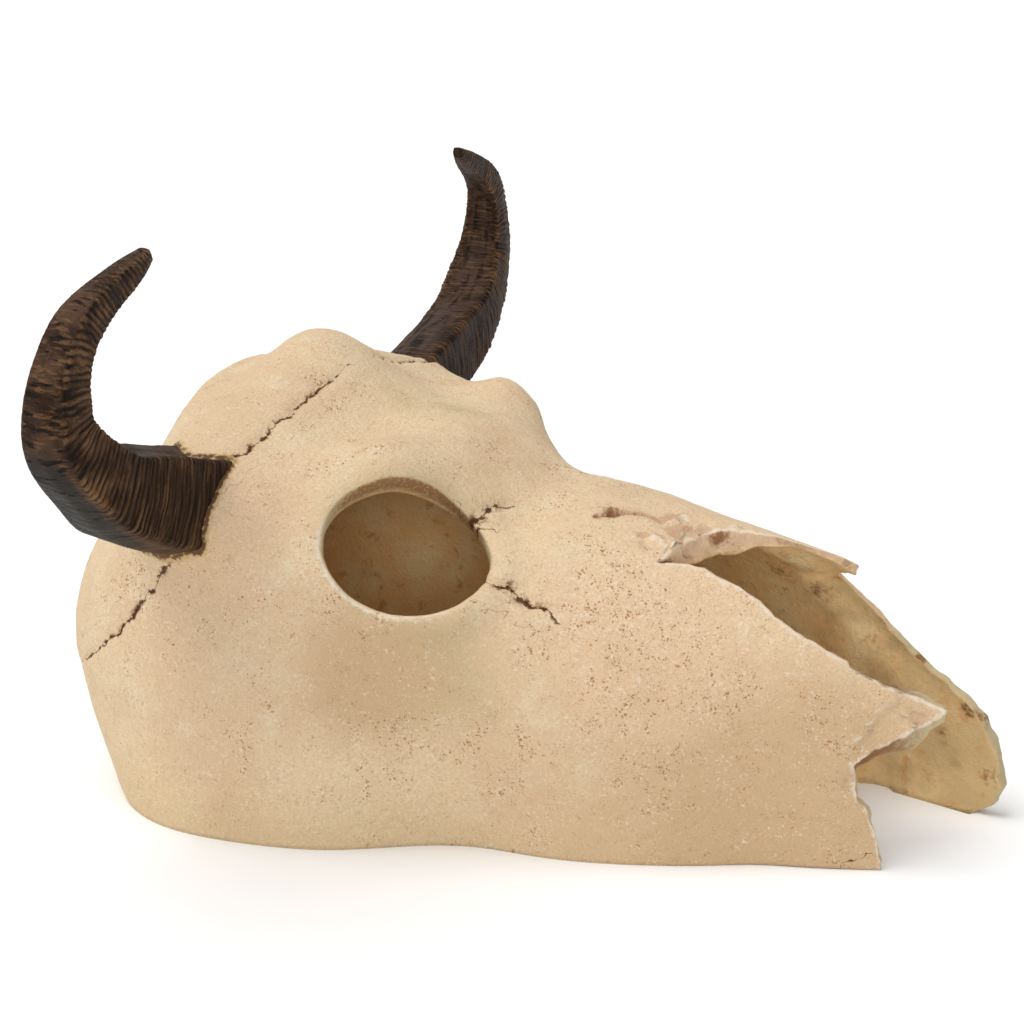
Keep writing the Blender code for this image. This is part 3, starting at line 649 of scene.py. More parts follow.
# %% Cracks
# Each crack: places in (u, v), half width in mm at its start, middle and end, depth of its groove,
# the sides it is on.
CRACKS = {
    "poll suture": ([(0.300, -0.33), (0.307, -0.304), (0.311, -0.289), (0.316, -0.251), (0.317, -0.221),
                     (0.320, -0.191), (0.320, -0.159), (0.324, -0.123), (0.331, -0.089),
                     (0.332, -0.063), (0.336, -0.041)],
                    (0.34, 0.24, 0.05), 0.8, (1, -1)),
    "nape suture": ([(0.262, -0.50), (0.253, -0.521), (0.244, -0.543), (0.234, -0.573),
                     (0.223, -0.608), (0.209, -0.635), (0.192, -0.660), (0.167, -0.683),
                     (0.13, -0.70), (0.08, -0.72)], (0.3, 0.25, 0.05), 0.6, (1, -1)),
    "upper eye crack": ([(0.503, -0.262), (0.511, -0.246), (0.514, -0.223), (0.517, -0.204),
                         (0.521, -0.178), (0.528, -0.164), (0.533, -0.149)], (0.55, 0.5, 0.05), 0.9, (1,)),
    "inner eye crack": ([(0.507, -0.252), (0.516, -0.264), (0.524, -0.272), (0.530, -0.285)],
                        (0.3, 0.3, 0.1), 0.5, (1,)),
    "lower eye crack": ([(0.540, -0.378), (0.548, -0.381), (0.555, -0.383), (0.565, -0.381),
                         (0.575, -0.388), (0.585, -0.403), (0.596, -0.411), (0.606, -0.425),
                         (0.616, -0.438)], (0.3, 0.55, 0.12), 1.0, (1, -1)),
    "muzzle crack": ([(0.882, -0.955), (0.893, -0.93), (0.905, -0.915)], (0.08, 0.14, 0.08), 0.15, (1,)),
}
CRACK_REACH = 5.0         # distance at which a crack is forgotten
CRACK_WANDER = (2.4, 0.8) # size and amount of a crack's zigzag
CRACK_FADE = 6            # a groove runs out over this part of a crack: the last sixth


def close_to(points, others, reach):
    """Numbers of the points inside the others' bounding box, grown by a reach on every side."""
    low, high = others.min(axis=0) - reach, others.max(axis=0) + reach
    return np.flatnonzero(((points > low) & (points < high)).all(axis=1))


def distance_across(points, normals, path):
    """Signed distance from points to a path, negative on its right, and where on the path the
    nearest place is: its share of the path's length and its position."""
    start, step = path[:-1], np.diff(path, axis=0)
    offset = points[:, None] - start[None]
    share = np.clip((offset * step).sum(-1) / (step ** 2).sum(-1), 0, 1)
    miss = offset - share[..., None] * step
    length = np.linalg.norm(miss, axis=-1)
    nearest = np.argmin(length, axis=1)
    rows = np.arange(len(points))
    side = np.cross(step[nearest], miss[rows, nearest])
    sign = np.where((side * normals).sum(-1) < 0, -1.0, 1.0)
    foot = start[nearest] + share[rows, nearest][:, None] * step[nearest]
    return sign * length[rows, nearest], (nearest + share[rows, nearest]) / len(step), foot


def crack_field(points, normals):
    """Distance across the nearest crack, its half width and its groove's depth, for every point."""
    across = np.full(len(points), CRACK_REACH)
    width, groove = np.zeros((2, len(points)))
    for places_on_path, widths, depth, sides in CRACKS.values():
        for side in sides:
            u, v = np.array(places_on_path).T
            path = surface(u, v * side)
            near = close_to(points, path, CRACK_REACH)
            signed, share, foot = distance_across(points[near], normals[near], path)
            signed += CRACK_WANDER[1] * rough(foot, CRACK_WANDER[0], 3, shift=1.9)
            closer = np.abs(signed) < np.abs(across[near])
            across[near[closer]] = signed[closer]
            width[near[closer]] = np.interp(share[closer], [0, 0.5, 1], widths)
            groove[near[closer]] = depth * np.clip(CRACK_FADE * (1 - share[closer]), 0, 1)
    return across, width, groove


print("cracks:", list(CRACKS))

# %% [markdown]
# ## The skin
# The skin is one piece: the outer surface with its lumps and cracks, a wall of rings around
# each opening, and the smooth inside, which is the plain outer surface moved in by the wall's
# thickness. The inside needs only every other row and column. Edges are rounded by the rings, and
# the broken edges of the nose are left ragged.

# %% Normals and distances
BATCH = 4_000_000         # distances that are worked out at once


def corner_normals(points, faces):
    """Normals of points: the sum of the areas of the faces around each, made one long."""
    area = np.cross(points[faces[:, 2]] - points[faces[:, 0]], points[faces[:, 3]] - points[faces[:, 1]])
    total = np.zeros_like(points)
    for corner in range(4):
        np.add.at(total, faces[:, corner], area)
    return total / (np.linalg.norm(total, axis=1, keepdims=True) + TINY)


def nearest_distance(points, others, limit, signed_by=None):
    """Distance from points to the nearest of the others, no more than a limit. With signed_by, the
    others' normals, it is the distance along the nearest one's normal."""
    found = np.full(len(points), limit)
    near = close_to(points, others, limit)
    squares = (others ** 2).sum(-1)
    for part in np.array_split(near, max(1, len(near) * len(others) // BATCH)):
        gaps = squares[None] - 2 * points[part] @ others.T
        closest = np.argmin(gaps, axis=1)
        offset = points[part] - others[closest]
        if signed_by is None:
            found[part] = np.minimum(np.linalg.norm(offset, axis=1), limit)
        else:
            found[part] = (offset * signed_by[closest]).sum(-1)
    return found


smooth_outer = surface(places[:, 0], places[:, 1])
smooth_normals = corner_normals(smooth_outer, outer_quads)
print("outer points:", len(smooth_outer))

# %% Chipped places
# Places in (u, v) where the resin is chipped into facets, with a radius and a depth in mm.
CHIPPED = [((0.692, -0.105), 7.5, 1.1), ((0.672, -0.185), 5.0, 0.8), ((0.937, -0.46), 5.0, 0.5),
           ((0.89, -0.72), 4.0, 0.5), ((0.742, -0.02), 4.0, 0.7)]
FACETS = 34               # facets in a chipped place
FACET_SPREAD = 0.6        # their seeds' spread, in the place's radii
FACET_TILT = 0.22
FACET_LEVEL = 0.25        # height over the old surface that the highest facets reach, in depths
CHIP_FADE = 2.2           # how steeply a place starts at its edge


def chips(points):
    """Height of the chipped places: each point belongs to the nearest of some random seeds, and each
    seed has its own depth and tilt, so that the surface is made of flat facets."""
    total = np.zeros(len(points))
    random = np.random.default_rng(5)
    for (u, v), radius, depth in CHIPPED:
        centre = surface(u, v)
        seeds = centre + random.normal(size=(FACETS, 3)) * radius * FACET_SPREAD
        level, tilt = random.random(FACETS), random.normal(size=(FACETS, 3))
        gap = np.linalg.norm(points - centre, axis=1)
        near = np.flatnonzero(gap < radius)
        offset = points[near][:, None] - seeds[None]
        closest = np.argmin((offset ** 2).sum(-1), axis=1)
        slope = (offset[np.arange(len(near)), closest] * tilt[closest]).sum(-1)
        fade = np.clip(CHIP_FADE * (1 - gap[near] / radius), 0, 1)
        total[near] += depth * fade * (FACET_LEVEL - level[closest] + FACET_TILT * slope)
    return total


chip = chips(smooth_outer)
print("deepest chip, in mm:", round(float(chip.min()), 2))

# %% Crevice and ledge
# The crevice by the notch: its upper edge in (u, v), and its floor's width and depth in mm. Below the
# edge there's a small cliff, and the floor rises again from its foot.
CREVICE = [(0.612, -0.148), (0.618, -0.122), (0.624, -0.102), (0.636, -0.084), (0.651, -0.072),
           (0.664, -0.074), (0.680, -0.082)]
CREVICE_FLOOR, CREVICE_DEPTH, CREVICE_EDGE = 2.6, 1.7, 0.35
CREVICE_WANDER = (2.2, 0.5)  # size and amount of its edge's unevenness
CREVICE_ENDS = (4, 5)     # it deepens over the first fourth and runs out over the last fifth
# The ledge across the spike: beyond this line the surface lies lower.
LEDGE = [(0.925, -0.41), (0.912, -0.47), (0.899, -0.55), (0.886, -0.65)]
LEDGE_DROP, LEDGE_REACH = 0.6, 6.0
LEDGE_WIDTH = 0.8         # of the slope down from the ledge
LEDGE_WANDER = (3.0, 0.8)
LEDGE_ENDS = (6, 0.3)     # it fades over a sixth at each end, but keeps this share there
WORN_LINE = -0.4          # the worn line lies this far above the ledge's edge


def along_path(points, normals, path_uv, reach):
    """Points within reach of a path on the surface, their signed distance and share along it."""
    u, v = np.array(path_uv).T
    path = surface(u, v)
    near = close_to(points, path, reach)
    signed, share, _ = distance_across(points[near], normals[near], path)
    return near, signed, share


def nose_steps(points, normals):
    """Heights of the crevice and the ledge, the crevice's mark and the ledge's worn line."""
    height, crevice, ridge = np.zeros((3, len(points)))
    near, signed, share = along_path(points, normals, CREVICE, 2 * CREVICE_FLOOR)
    signed = signed + CREVICE_WANDER[1] * rough(points[near], CREVICE_WANDER[0], 2, shift=7.7)
    profile = np.where(signed < 0, np.clip(1 + signed / CREVICE_FLOOR, 0, 1),
                       falloff(signed / CREVICE_EDGE))
    start, end = CREVICE_ENDS
    crevice[near] = profile * np.clip(np.minimum(start * share, end * (1 - share)), 0, 1)
    height -= CREVICE_DEPTH * crevice
    near, signed, share = along_path(points, normals, LEDGE, LEDGE_REACH)
    signed = signed + LEDGE_WANDER[1] * rough(points[near], LEDGE_WANDER[0], 2, shift=5.1)
    fade, kept = LEDGE_ENDS
    ends = np.clip(fade * np.minimum(share, 1 - share) + kept, 0, 1)
    slope = np.clip(signed / LEDGE_WIDTH, 0, 1) * falloff(signed / LEDGE_REACH)
    height[near] -= LEDGE_DROP * slope * ends
    ridge[near] = falloff((signed - WORN_LINE) / LEDGE_WIDTH) * ends
    return height, crevice, ridge


step_height, crevice, ridge_line = nose_steps(smooth_outer, smooth_normals)
print("crevice and ledge sink the surface by up to", round(float(-step_height.min()), 2), "mm")

# %% Outer surface with its unevenness
COLLAR = (0.8, 1.5)       # height and reach of the crumbly collar around a horn, in mm
COLLAR_UNEVEN = (3.0, 0.6)   # size of its lumps in mm, and their share of its height
GROOVE_SIDES = 0.55       # how far a crack's groove reaches past its line
LUMPS = ((24.0, 0.36), (8.0, 0.15), (2.6, 0.08))  # size and height of the surface's unevenness
FLAT_FOOT = 3.0           # the unevenness fades below this height, so that the rim stays flat
ROLL_DEPTH, ROLL_WIDTH = 1.3, 2.2   # in mm, of the roll along the sockets' upper edges


def rolled_in(points):
    """1 along the upper edge of an eye socket, where the surface rolls into the hole."""
    total = np.zeros(len(points))
    for mirror in (1, -1):
        along, up, off = eye_place(points, mirror)
        level = up / (1 + EYE_TOP_LIFT * np.clip(up, 0, EYE_OUTER))
        gap = (np.hypot(along, level) - EYE_OUTER) * EYE_HALF[1]
        total += falloff(gap / ROLL_WIDTH) * (np.abs(off) < EYE_LIP[3]) * np.clip(1.3 * up - 0.25, 0, 1)
    return total


crack_across, crack_width, crack_depth = crack_field(smooth_outer, smooth_normals)
socket_top = rolled_in(smooth_outer)
HORN_REACH = 12.0         # distance at which a horn is forgotten
horn_gap = np.minimum(*[nearest_distance(smooth_outer, root_points[side].reshape(-1, 3) * [1, side, 1],
                                         HORN_REACH) for side in (1, -1)])
height = sum(strength * rough(smooth_outer, size) for size, strength in LUMPS)
height -= crack_depth * falloff(crack_across / (crack_width + GROOVE_SIDES))
height += step_height - ROLL_DEPTH * socket_top
lump_size, lump_share = COLLAR_UNEVEN
crumbs = lump_share + lump_share * rough(smooth_outer, lump_size, 2, shift=3.1)
height += COLLAR[0] * falloff(horn_gap / COLLAR[1]) * crumbs
height += chip
chip += 0.3 * ridge_line * (1 + noise(smooth_outer, 1.5))   # the worn line is painted as a chip's is
height *= np.clip(smooth_outer[:, 2] / FLAT_FOOT, 0, 1)
outer = smooth_outer + smooth_normals * height[:, None]
outer[:, 2] = np.maximum(outer[:, 2], 0)
print("height of the unevenness, in mm:", np.round([height.min(), height.max()], 2))

# %% Open edges of the outer surface
# A quad's side that no other quad shares lies on an open edge.
FLOOR_LEVEL = 0.5         # the edge is on the floor below this height
EYE_NEAR = 1.6            # an edge no further than this from a socket's middle is the socket's own
PLANE_SCALE = 20.0        # distance off the socket's plane, in mm, that counts as one hole size


def eye_nearness(points, mirror):
    """Distance from a socket's middle, in hole sizes in its plane and more coarsely off it."""
    along, up, off = eye_place(points, mirror)
    return np.hypot(along, up) + np.abs(off) / PLANE_SCALE


sides = np.concatenate([outer_quads[:, [k, (k + 1) % 4]] for k in range(4)])
keys = sides[:, 0] * len(outer) + sides[:, 1]
open_sides = sides[~np.isin(keys, sides[:, 1] * len(outer) + sides[:, 0])]
following = np.full(len(outer), -1)
following[open_sides[:, 0]] = open_sides[:, 1]
previous = np.full(len(outer), -1)
previous[open_sides[:, 1]] = open_sides[:, 0]
edge_ids = open_sides[:, 0]
edge_normal = smooth_normals[edge_ids].copy()
tangent = outer[following[edge_ids]] - outer[previous[edge_ids]]
on_floor = smooth_outer[edge_ids, 2] < FLOOR_LEVEL
on_eye = np.minimum(*[eye_nearness(smooth_outer[edge_ids], mirror) for mirror in (1, -1)]) < EYE_NEAR
edge_normal[on_floor, 2] = 0
edge_normal = unit(edge_normal)
away = np.cross(tangent, edge_normal)
away[on_floor] = (0, 0, -1)
away = unit(away)
print("points on open edges:", len(edge_ids), "on the floor:", int(on_floor.sum()),
      "at the eyes:", int(on_eye.sum()))

# %% Sizes of the wall around the openings
RING_SHARES = [0.06, 0.18, 0.36, 0.60, 0.82, 0.94]  # of the way from the outer to the inner edge
BULGE = (0.8, 0.7)        # how far the wall's middle stands out, at the nose and at the eyes
BULGE_POWER = 3.5
RAGGED = 0.7              # how far the broken wall of the nose stands out and in
RAGGED_STEPS = ((1.2, 5.5, 1.7), (0.7, 2.3, 4.1))  # its steps' share, size in mm and noise shift
SOCKET_UNEVEN = (3.0, 0.15)  # size and height of the unevenness in a socket's wall
INSIDE_UNEVEN = (14.0, 0.3)  # and inside the hollow
HORN_ROOM = 4.0           # but within this distance of a horn the inside stays even
# Along the nose's broken edge, at places in (u, v): how far the inner edge stands out past the outer
# one in mm, and the wall's thickness as a share of the usual one.
NOSE_EDGE = np.array([
    (0.961, -0.392, 1.6, 0.80), (0.93, -0.54, 3.0, 0.80), (0.90, -0.65, 2.0, 0.60),
    (0.885, -0.72, 0.5, 0.40), (0.91, -0.95, 0.0, 0.30), (0.86, -0.41, 0.0, 0.80),
    (0.78, -0.29, 0.0, 0.80), (0.705, -0.23, 0.4, 1.00), (0.688, -0.20, 2.0, 1.00),
    (0.70, -0.13, 3.0, 1.00), (0.735, -0.035, 3.0, 1.00), (0.765, 0.01, 1.0, 0.50),
    (0.80, 0.045, -0.3, 0.22), (0.83, 0.08, 0.0, 0.30), (0.851, 0.11, 0.4, 0.55),
    (0.838, 0.23, 0.0, 0.30), (0.822, 0.302, 0.0, 0.20), (0.852, 0.413, 0.0, 0.25),
    (0.889, 0.475, 0.0, 0.35), (0.93, 0.515, 0.3, 0.35), (0.954, 0.53, 0.3, 0.55),
    (0.976, 0.572, 0.5, 0.70), (0.991, 0.672, 0.6, 0.75), (1.0, 0.85, 0.5, 0.75),
    (0.97, 0.952, 0.3, 0.70)])
EDGE_SPREAD = (0.02, 0.05)
THIN_REACH = 8.0          # the wall is back to its usual thickness this far from the edge
LEAST_WEIGHT = 1e-30      # keeps the weights' sum above nought


def at_edge(uv):
    """Bevel and wall share: the mean of the listed places, weighted by exp(-distance squared)."""
    gap = (uv[:, None] - NOSE_EDGE[None, :, :2]) / EDGE_SPREAD
    weight = np.exp(-(gap ** 2).sum(-1)) + LEAST_WEIGHT
    return (weight @ NOSE_EDGE[:, 2:] / weight.sum(axis=1, keepdims=True)).T


print("sizes at the right wall's top corner:", np.round(at_edge(np.array([NOTCH])).ravel(), 2))

# %% Inside surface
EDGE_REACH = 9.0
broken_edge = ~on_floor & ~on_eye
nose_gap = nearest_distance(smooth_outer, smooth_outer[edge_ids[broken_edge]], EDGE_REACH)
usual = smooth(np.clip(nose_gap / THIN_REACH, 0, 1))
nose_bevel, nose_share = at_edge(places)
wall_share = nose_share * (1 - usual) + usual
plain = surface(places[:, 0], places[:, 1], lips=False)
inner_normals = corner_normals(plain, outer_quads)
inner = plain - WALL * wall_share[:, None] * inner_normals
inner[drawn_ids] = inside_surface(drawn_inner[:, 0], drawn_inner[:, 1])
unevenness = INSIDE_UNEVEN[1] * rough(plain, INSIDE_UNEVEN[0]) * (1 - falloff(horn_gap / HORN_ROOM))
inner -= inner_normals * unevenness[:, None]
edge_share = np.where(broken_edge, wall_share[edge_ids], 1.0)
under_edge = smooth_outer[edge_ids] - WALL * edge_share[:, None] * edge_normal
inner[edge_ids] = np.where(on_eye[:, None], inner[edge_ids], under_edge)
inner[edge_ids] += away * (broken_edge * nose_bevel[edge_ids])[:, None]
inner[edge_ids, 2] = np.where(on_floor, 0, inner[edge_ids, 2])
print("thinnest wall, as a share:", round(float(wall_share.min()), 2))


# %% Rings of the wall
def ragged(points):
    """How far a broken edge stands out at points: steps of several sizes."""
    steps = sum(share * np.abs(noise(points, size, shift)) for share, size, shift in RAGGED_STEPS)
    return RAGGED * (steps + 0.3 * noise(points, 1.1, 2.3) - 0.7)


def ring(share):
    """Points of the wall around the openings, at a share of the way from its outer edge to its
    inner one, bulged to round it off and ragged where the wall is broken."""
    points = smooth_outer[edge_ids] * (1 - share) + inner[edge_ids] * share
    round_off = (1 - abs(2 * share - 1) ** BULGE_POWER) ** (1 / BULGE_POWER)
    bulge = round_off * (BULGE[0] * broken_edge * edge_share + BULGE[1] * on_eye)
    uneven = SOCKET_UNEVEN[1] * rough(points, SOCKET_UNEVEN[0]) * on_eye
    uneven += ragged(points) * broken_edge
    follow = edge_normal * (height[edge_ids] * (1 - share) * ~on_floor)[:, None]
    return points + away * (bulge + uneven)[:, None] + follow


rings = [ring(share) for share in RING_SHARES]
outer_edge_points, inner_edge_points = ring(0.0), ring(1.0)
outer[edge_ids], inner[edge_ids] = outer_edge_points, inner_edge_points
inner[:, 2] = np.where(smooth_outer[:, 2] < FLOOR_LEVEL, 0, inner[:, 2])
print("wall rings:", len(rings), "of", len(edge_ids), "points")

# %% Join the surfaces into one piece
# The coarse quad at the upper end of the back's fold has two of its corners in one place, on the
# inside. The mesh check in make_piece drops it, so a triangle 0.5 mm wide is missing there.
ring_of = np.full(len(outer), -1)
ring_of[edge_ids] = np.arange(len(edge_ids))
ring_start = len(outer)
inner_start = ring_start + len(rings) * len(edge_ids)
all_points = np.concatenate([outer] + rings + [inner])
faces = [outer_quads, inner_quads[:, ::-1] + inner_start]
a, b = open_sides.T
level_a, level_b = a, b
for k in range(len(rings)):
    next_a = ring_start + k * len(edge_ids) + ring_of[a]
    next_b = ring_start + k * len(edge_ids) + ring_of[b]
    faces.append(np.stack([level_b, level_a, next_a, next_b], axis=-1))
    level_a, level_b = next_a, next_b
in_coarse = np.zeros(len(outer), bool)
in_coarse[inner_quads] = True
odd = edge_ids[~in_coarse[edge_ids]]
last = ring_start + (len(rings) - 1) * len(edge_ids)
before, after = previous[odd], following[odd]
mid = last + ring_of[odd]
ends = (last + ring_of[before], last + ring_of[after])
inner_before, inner_after = inner_start + before, inner_start + after
triangles = [np.stack(corners, axis=-1) for corners in
             ((mid, ends[0], inner_before), (mid, inner_before, inner_after), (mid, inner_after, ends[1]))]
used = np.zeros(len(all_points), bool)
for group in faces + triangles:
    used[group] = True
number = np.cumsum(used) - 1
print("coarse edge points:", int(in_coarse[edge_ids].sum()), "of", len(edge_ids),
      "points in all:", int(used.sum()))


def make_piece(name, points, groups, attributes, nodes):
    """Mesh object from points in mm and groups of faces, with one value per point for each named
    attribute. It stands at the origin, as the solid model's nodes do."""
    mesh = bpy.data.meshes.new(name)
    moved = (points - [CENTRE_X, 0, 0]) * MM
    moved[:, 2] = np.maximum(moved[:, 2], 0)
    mesh.from_pydata(moved.tolist(), [], [face for group in groups for face in group.tolist()])
    for label, values in attributes.items():
        kind = "FLOAT" if values.ndim == 1 else "FLOAT_VECTOR"
        layer = mesh.attributes.new(label, kind, "POINT")
        layer.data.foreach_set("value" if values.ndim == 1 else "vector", values.astype(np.float32).ravel())
    mesh.shade_smooth()
    made = bpy.data.objects.new(name, mesh)
    bpy.context.scene.collection.objects.link(made)
    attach(made, "root")
    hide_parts(*nodes)
    triangle_count = sum(len(group) * (group.shape[1] - 2) for group in groups)
    print(name, "triangles:", triangle_count, "problems:", mesh.validate(verbose=False))
    return made


# %% Distances from the edges and the horns
outer_edge = nearest_distance(outer, smooth_outer[edge_ids[~on_floor]], EDGE_REACH)
inner_edge = nearest_distance(inner, smooth_outer[edge_ids[~on_floor]], EDGE_REACH)
wall_size = len(rings) * len(edge_ids)
# painted shade as well as staining: the dark at a horn's root is wider below it, where shade falls
UNDER_HORN = (62.0, 12.0)   # the stain at a horn grows wider below this height, over this fall
STAIN_REACH = (0.9, 3.4)    # its reach in mm, and how much wider it gets
under = np.clip((UNDER_HORN[0] - smooth_outer[:, 2]) / UNDER_HORN[1], 0, 1)
root_shade_and_stain = falloff(horn_gap / (STAIN_REACH[0] + STAIN_REACH[1] * under))
print("points stained by the horns:", int((root_shade_and_stain > 0.5).sum()))

# %% Places of the patches, stains and lines
# Patches in (u, v), on both sides: a radius in mm and a strength, which is above nought for pink and
# below it for olive in TONES.
TONES = [((0.485, -0.590), 15, -1.0), ((0.549, -0.605), 12, -0.6), ((0.431, -0.69), 10, -0.4),
         ((0.658, -0.45), 20, 0.7), ((0.738, -0.53), 20, 0.7), ((0.80, -0.70), 18, 0.6),
         ((0.42, 0.01), 14, -0.3), ((0.344, -0.858), 14, 0.3), ((0.30, -0.60), 16, 0.5),
         ((0.70, -0.03), 14, 0.4), ((0.27, -0.33), 12, 0.5), ((0.36, -0.36), 14, 0.5)]
# Painted shade: places painted a darker tan, mostly low on the sides and under the eye sockets, in the same
# way.
PAINTED_SHADE_PATCHES = [((0.87, -0.75), 24, 0.9), ((0.78, -0.85), 24, 0.7), ((0.95, -0.55), 14, 0.3),
         ((0.66, -0.92), 20, 0.35), ((0.47, -0.62), 16, 0.95), ((0.43, -0.66), 12, 0.3),
         ((0.33, -0.93), 14, 0.25), ((0.12, -0.75), 14, 0.35), ((0.30, -0.47), 9, 0.4),
         ((0.50, -0.10), 14, 0.25)]
# Places where the pits cluster.
POROUS = [((0.647, -0.374), 9, 1.0), ((0.674, -0.293), 7, 1.0), ((0.691, -0.452), 7, 0.8),
          ((0.736, -0.352), 8, 0.6), ((0.654, -0.575), 7, 0.6), ((0.60, -0.45), 8, 0.5),
          ((0.745, -0.56), 8, 0.8), ((0.704, -0.714), 8, 0.7), ((0.56, -0.72), 8, 0.7),
          ((0.481, -0.77), 9, 0.7), ((0.348, -0.718), 9, 0.6), ((0.482, -0.234), 7, 0.7),
          ((0.559, -0.08), 6, 0.8), ((0.329, -0.088), 7, 0.7), ((0.40, -0.25), 9, 0.6),
          ((0.222, -0.556), 7, 0.8), ((0.86, -0.60), 6, 0.6)]
# Brown stains on the walls: place in (u, v), depth under the surface, radius and strength.
SPOTS = [((0.722, -0.06), 2.0, 2.6, 1.3), ((0.735, -0.035), 4.0, 2.4, 1.1),
         ((0.69, -0.24), 2.0, 2.2, 1.4), ((0.697, -0.17), 3.0, 1.6, 1.0),
         ((0.893, -0.655), 1.2, 2.2, 1.1), ((0.902, -0.62), 2.4, 2.0, 1.0),
         ((0.918, -0.575), 2.6, 1.4, 0.8), ((0.931, -0.52), 1.0, 1.1, 1.0),
         ((0.948, -0.46), 0.9, 1.0, 0.9), ((0.975, 0.58), 2.5, 3.2, 0.7), ((0.905, 0.50), 1.5, 2.0, 0.9)]
# The same on the outer surface, and on the inside of the far wall.
OUTER_SPOTS = [((0.624, -0.112), 0.3, 2.3, 1.1), ((0.612, -0.138), 0.0, 1.2, 0.9)]
INNER_SPOTS = [((0.956, 0.609), 4.5, 1.8, 1.1), ((0.960, 0.622), 4.5, 1.3, 1.1),
               ((0.954, 0.724), 4.5, 1.5, 0.9), ((0.984, 0.858), 4.5, 3.4, 0.7),
               ((0.966, 0.553), 3.5, 2.4, 0.8), ((0.94, 0.80), 4.5, 1.0, 0.8),
               ((0.80, 0.36), 4.5, 4.0, 0.6), ((0.76, 0.30), 4.5, 5.0, 0.55)]
# Brown lines drawn along the inside of the far wall.
INNER_LINES = [[(0.979, 0.702), (0.987, 0.749), (0.995, 0.776), (0.998, 0.81)],
               [(0.901, 0.507), (0.920, 0.516), (0.931, 0.535), (0.942, 0.541), (0.953, 0.545),
                (0.960, 0.571)],
               [(0.930, 0.66), (0.942, 0.72), (0.948, 0.759), (0.951, 0.805)],
               [(0.83, 0.33), (0.86, 0.40), (0.885, 0.455)]]
LINE_STEPS = 40
EYE_EDGE_REACH = 1.7      # in hole sizes, of the edge of a socket that is or isn't worn pale
LINE_REACH, LINE_WIDTH = 3.0, 0.7   # distance at which a line is forgotten, and its width, in mm
HOLLOW_MIDDLE = 30.0      # a stain lies under the surface towards this height on the midline
print("patches:", len(TONES + PAINTED_SHADE_PATCHES + POROUS), "stains:", len(SPOTS + OUTER_SPOTS + INNER_SPOTS))


# %% Values of the patches, stains and lines
def patches(points, listed, sides=(1, -1)):
    """Sum of soft patches: each a strength times exp(-distance squared), in its radii."""
    total = np.zeros(len(points))
    for ((u, v), radius, strength), side in itertools.product(listed, sides):
        total += strength * np.exp(-((points - surface(u, v * side)) ** 2).sum(-1) / radius ** 2)
    return total


def spots(points, listed):
    """The strongest of some brown stains at points: each a strength times exp(-distance squared)."""
    total = np.zeros(len(points))
    for (u, v), depth, radius, strength in listed:
        centre = surface(u, v)
        inward = unit(np.array([0, 0, HOLLOW_MIDDLE]) - centre * [0, 1, 1])
        centre = centre + depth * inward
        total = np.maximum(total, strength * np.exp(-((points - centre) ** 2).sum(-1) / radius ** 2))
    return total


def drawn_lines(points):
    """1 on the lines of the far wall's inside, falling off beside them."""
    total = np.zeros(len(points))
    for line in INNER_LINES:
        stops = np.linspace(0, len(line) - 1, LINE_STEPS)
        u, v = [np.interp(stops, np.arange(len(line)), np.array(line)[:, axis]) for axis in (0, 1)]
        gap = nearest_distance(points, inside_surface(u, v), LINE_REACH)
        total = np.maximum(total, falloff(gap / LINE_WIDTH))
    return total


def low_left(points):
    """1 but at an eye socket's edge, where it is 1 only at the lower back part of the edge."""
    total = np.ones(len(points))
    for mirror in (1, -1):
        along, up, off = eye_place(points, mirror)
        close = (np.hypot(along, up) < EYE_EDGE_REACH) & (np.abs(off) < EYE_LIP[3])
        total[close] = np.clip(-0.9 * up[close] - 0.7 * along[close], 0, 1)
    return total


print("tone at the first point:", np.round(patches(outer[:1], TONES), 2))


# %% The skin's attributes
def skin_layer(outer_part, wall_part=0.0, inner_part=0.0):
    """One value for each point of the skin, from the values of its three parts. A part can also be
    one value for all of it, and the wall's part one ring's values, which then hold for each ring."""
    parts = zip((outer_part, wall_part, inner_part), (len(outer), wall_size, len(inner)))
    return np.concatenate([np.tile(values, size // np.size(values)) for values, size in parts])


wall_points = np.concatenate(rings)
edge_eye = [eye_place(smooth_outer[edge_ids], mirror) for mirror in (1, -1)]
edge_up = np.where(np.abs(edge_eye[0][2]) < EYE_LIP[3], edge_eye[0][1], edge_eye[1][1])
# how high on a socket's wall an edge point lies, for the painted shade of the upper walls
edge_top = np.clip(0.45 + 0.6 * edge_up, 0, 1) * on_eye
wall_depth = np.repeat(np.linspace(0.2, 0.8, len(rings)), len(edge_ids))
skin_values = {
    "chip": skin_layer(chip, 0.4 * chip[edge_ids]),
    "root_shade_and_stain": skin_layer(root_shade_and_stain),
    "crack_across": skin_layer(crack_across, crack_across[edge_ids], CRACK_REACH),
    "crack_width": skin_layer(crack_width, crack_width[edge_ids]),
    "edge_gap": skin_layer(outer_edge, 0.0, inner_edge),
    "worn": skin_layer(low_left(outer), low_left(wall_points)),
    "tone": skin_layer(patches(outer, TONES)),
    "porous": skin_layer(patches(outer, POROUS)),
    # painted shade: where the sides are painted a darker tan
    "painted_shade": skin_layer(patches(outer, PAINTED_SHADE_PATCHES)),
    "lengthwise": skin_layer(places[:, 0], places[edge_ids, 0], places[:, 0]),
    "crevice": skin_layer(crevice, crevice[edge_ids]),
    "spot": skin_layer(spots(outer, OUTER_SPOTS), spots(wall_points, SPOTS), spots(inner, INNER_SPOTS)),
    "drawn_line": skin_layer(0.0, 0.0, drawn_lines(inner)),
    # the sockets' upper walls and the roll into them, painted olive and brown as shade
    "socket": skin_layer(0.5 * socket_top, edge_top),
    "inside": skin_layer(0.0, wall_depth, 1.0),
    "broken": skin_layer(0.0, 1.0 * broken_edge),
}
groups = [number[group] for group in faces + triangles]
skull = make_piece("skull_skin", all_points[used], groups,
                   {label: values[used] for label, values in skin_values.items()}, SHELL_NODES)
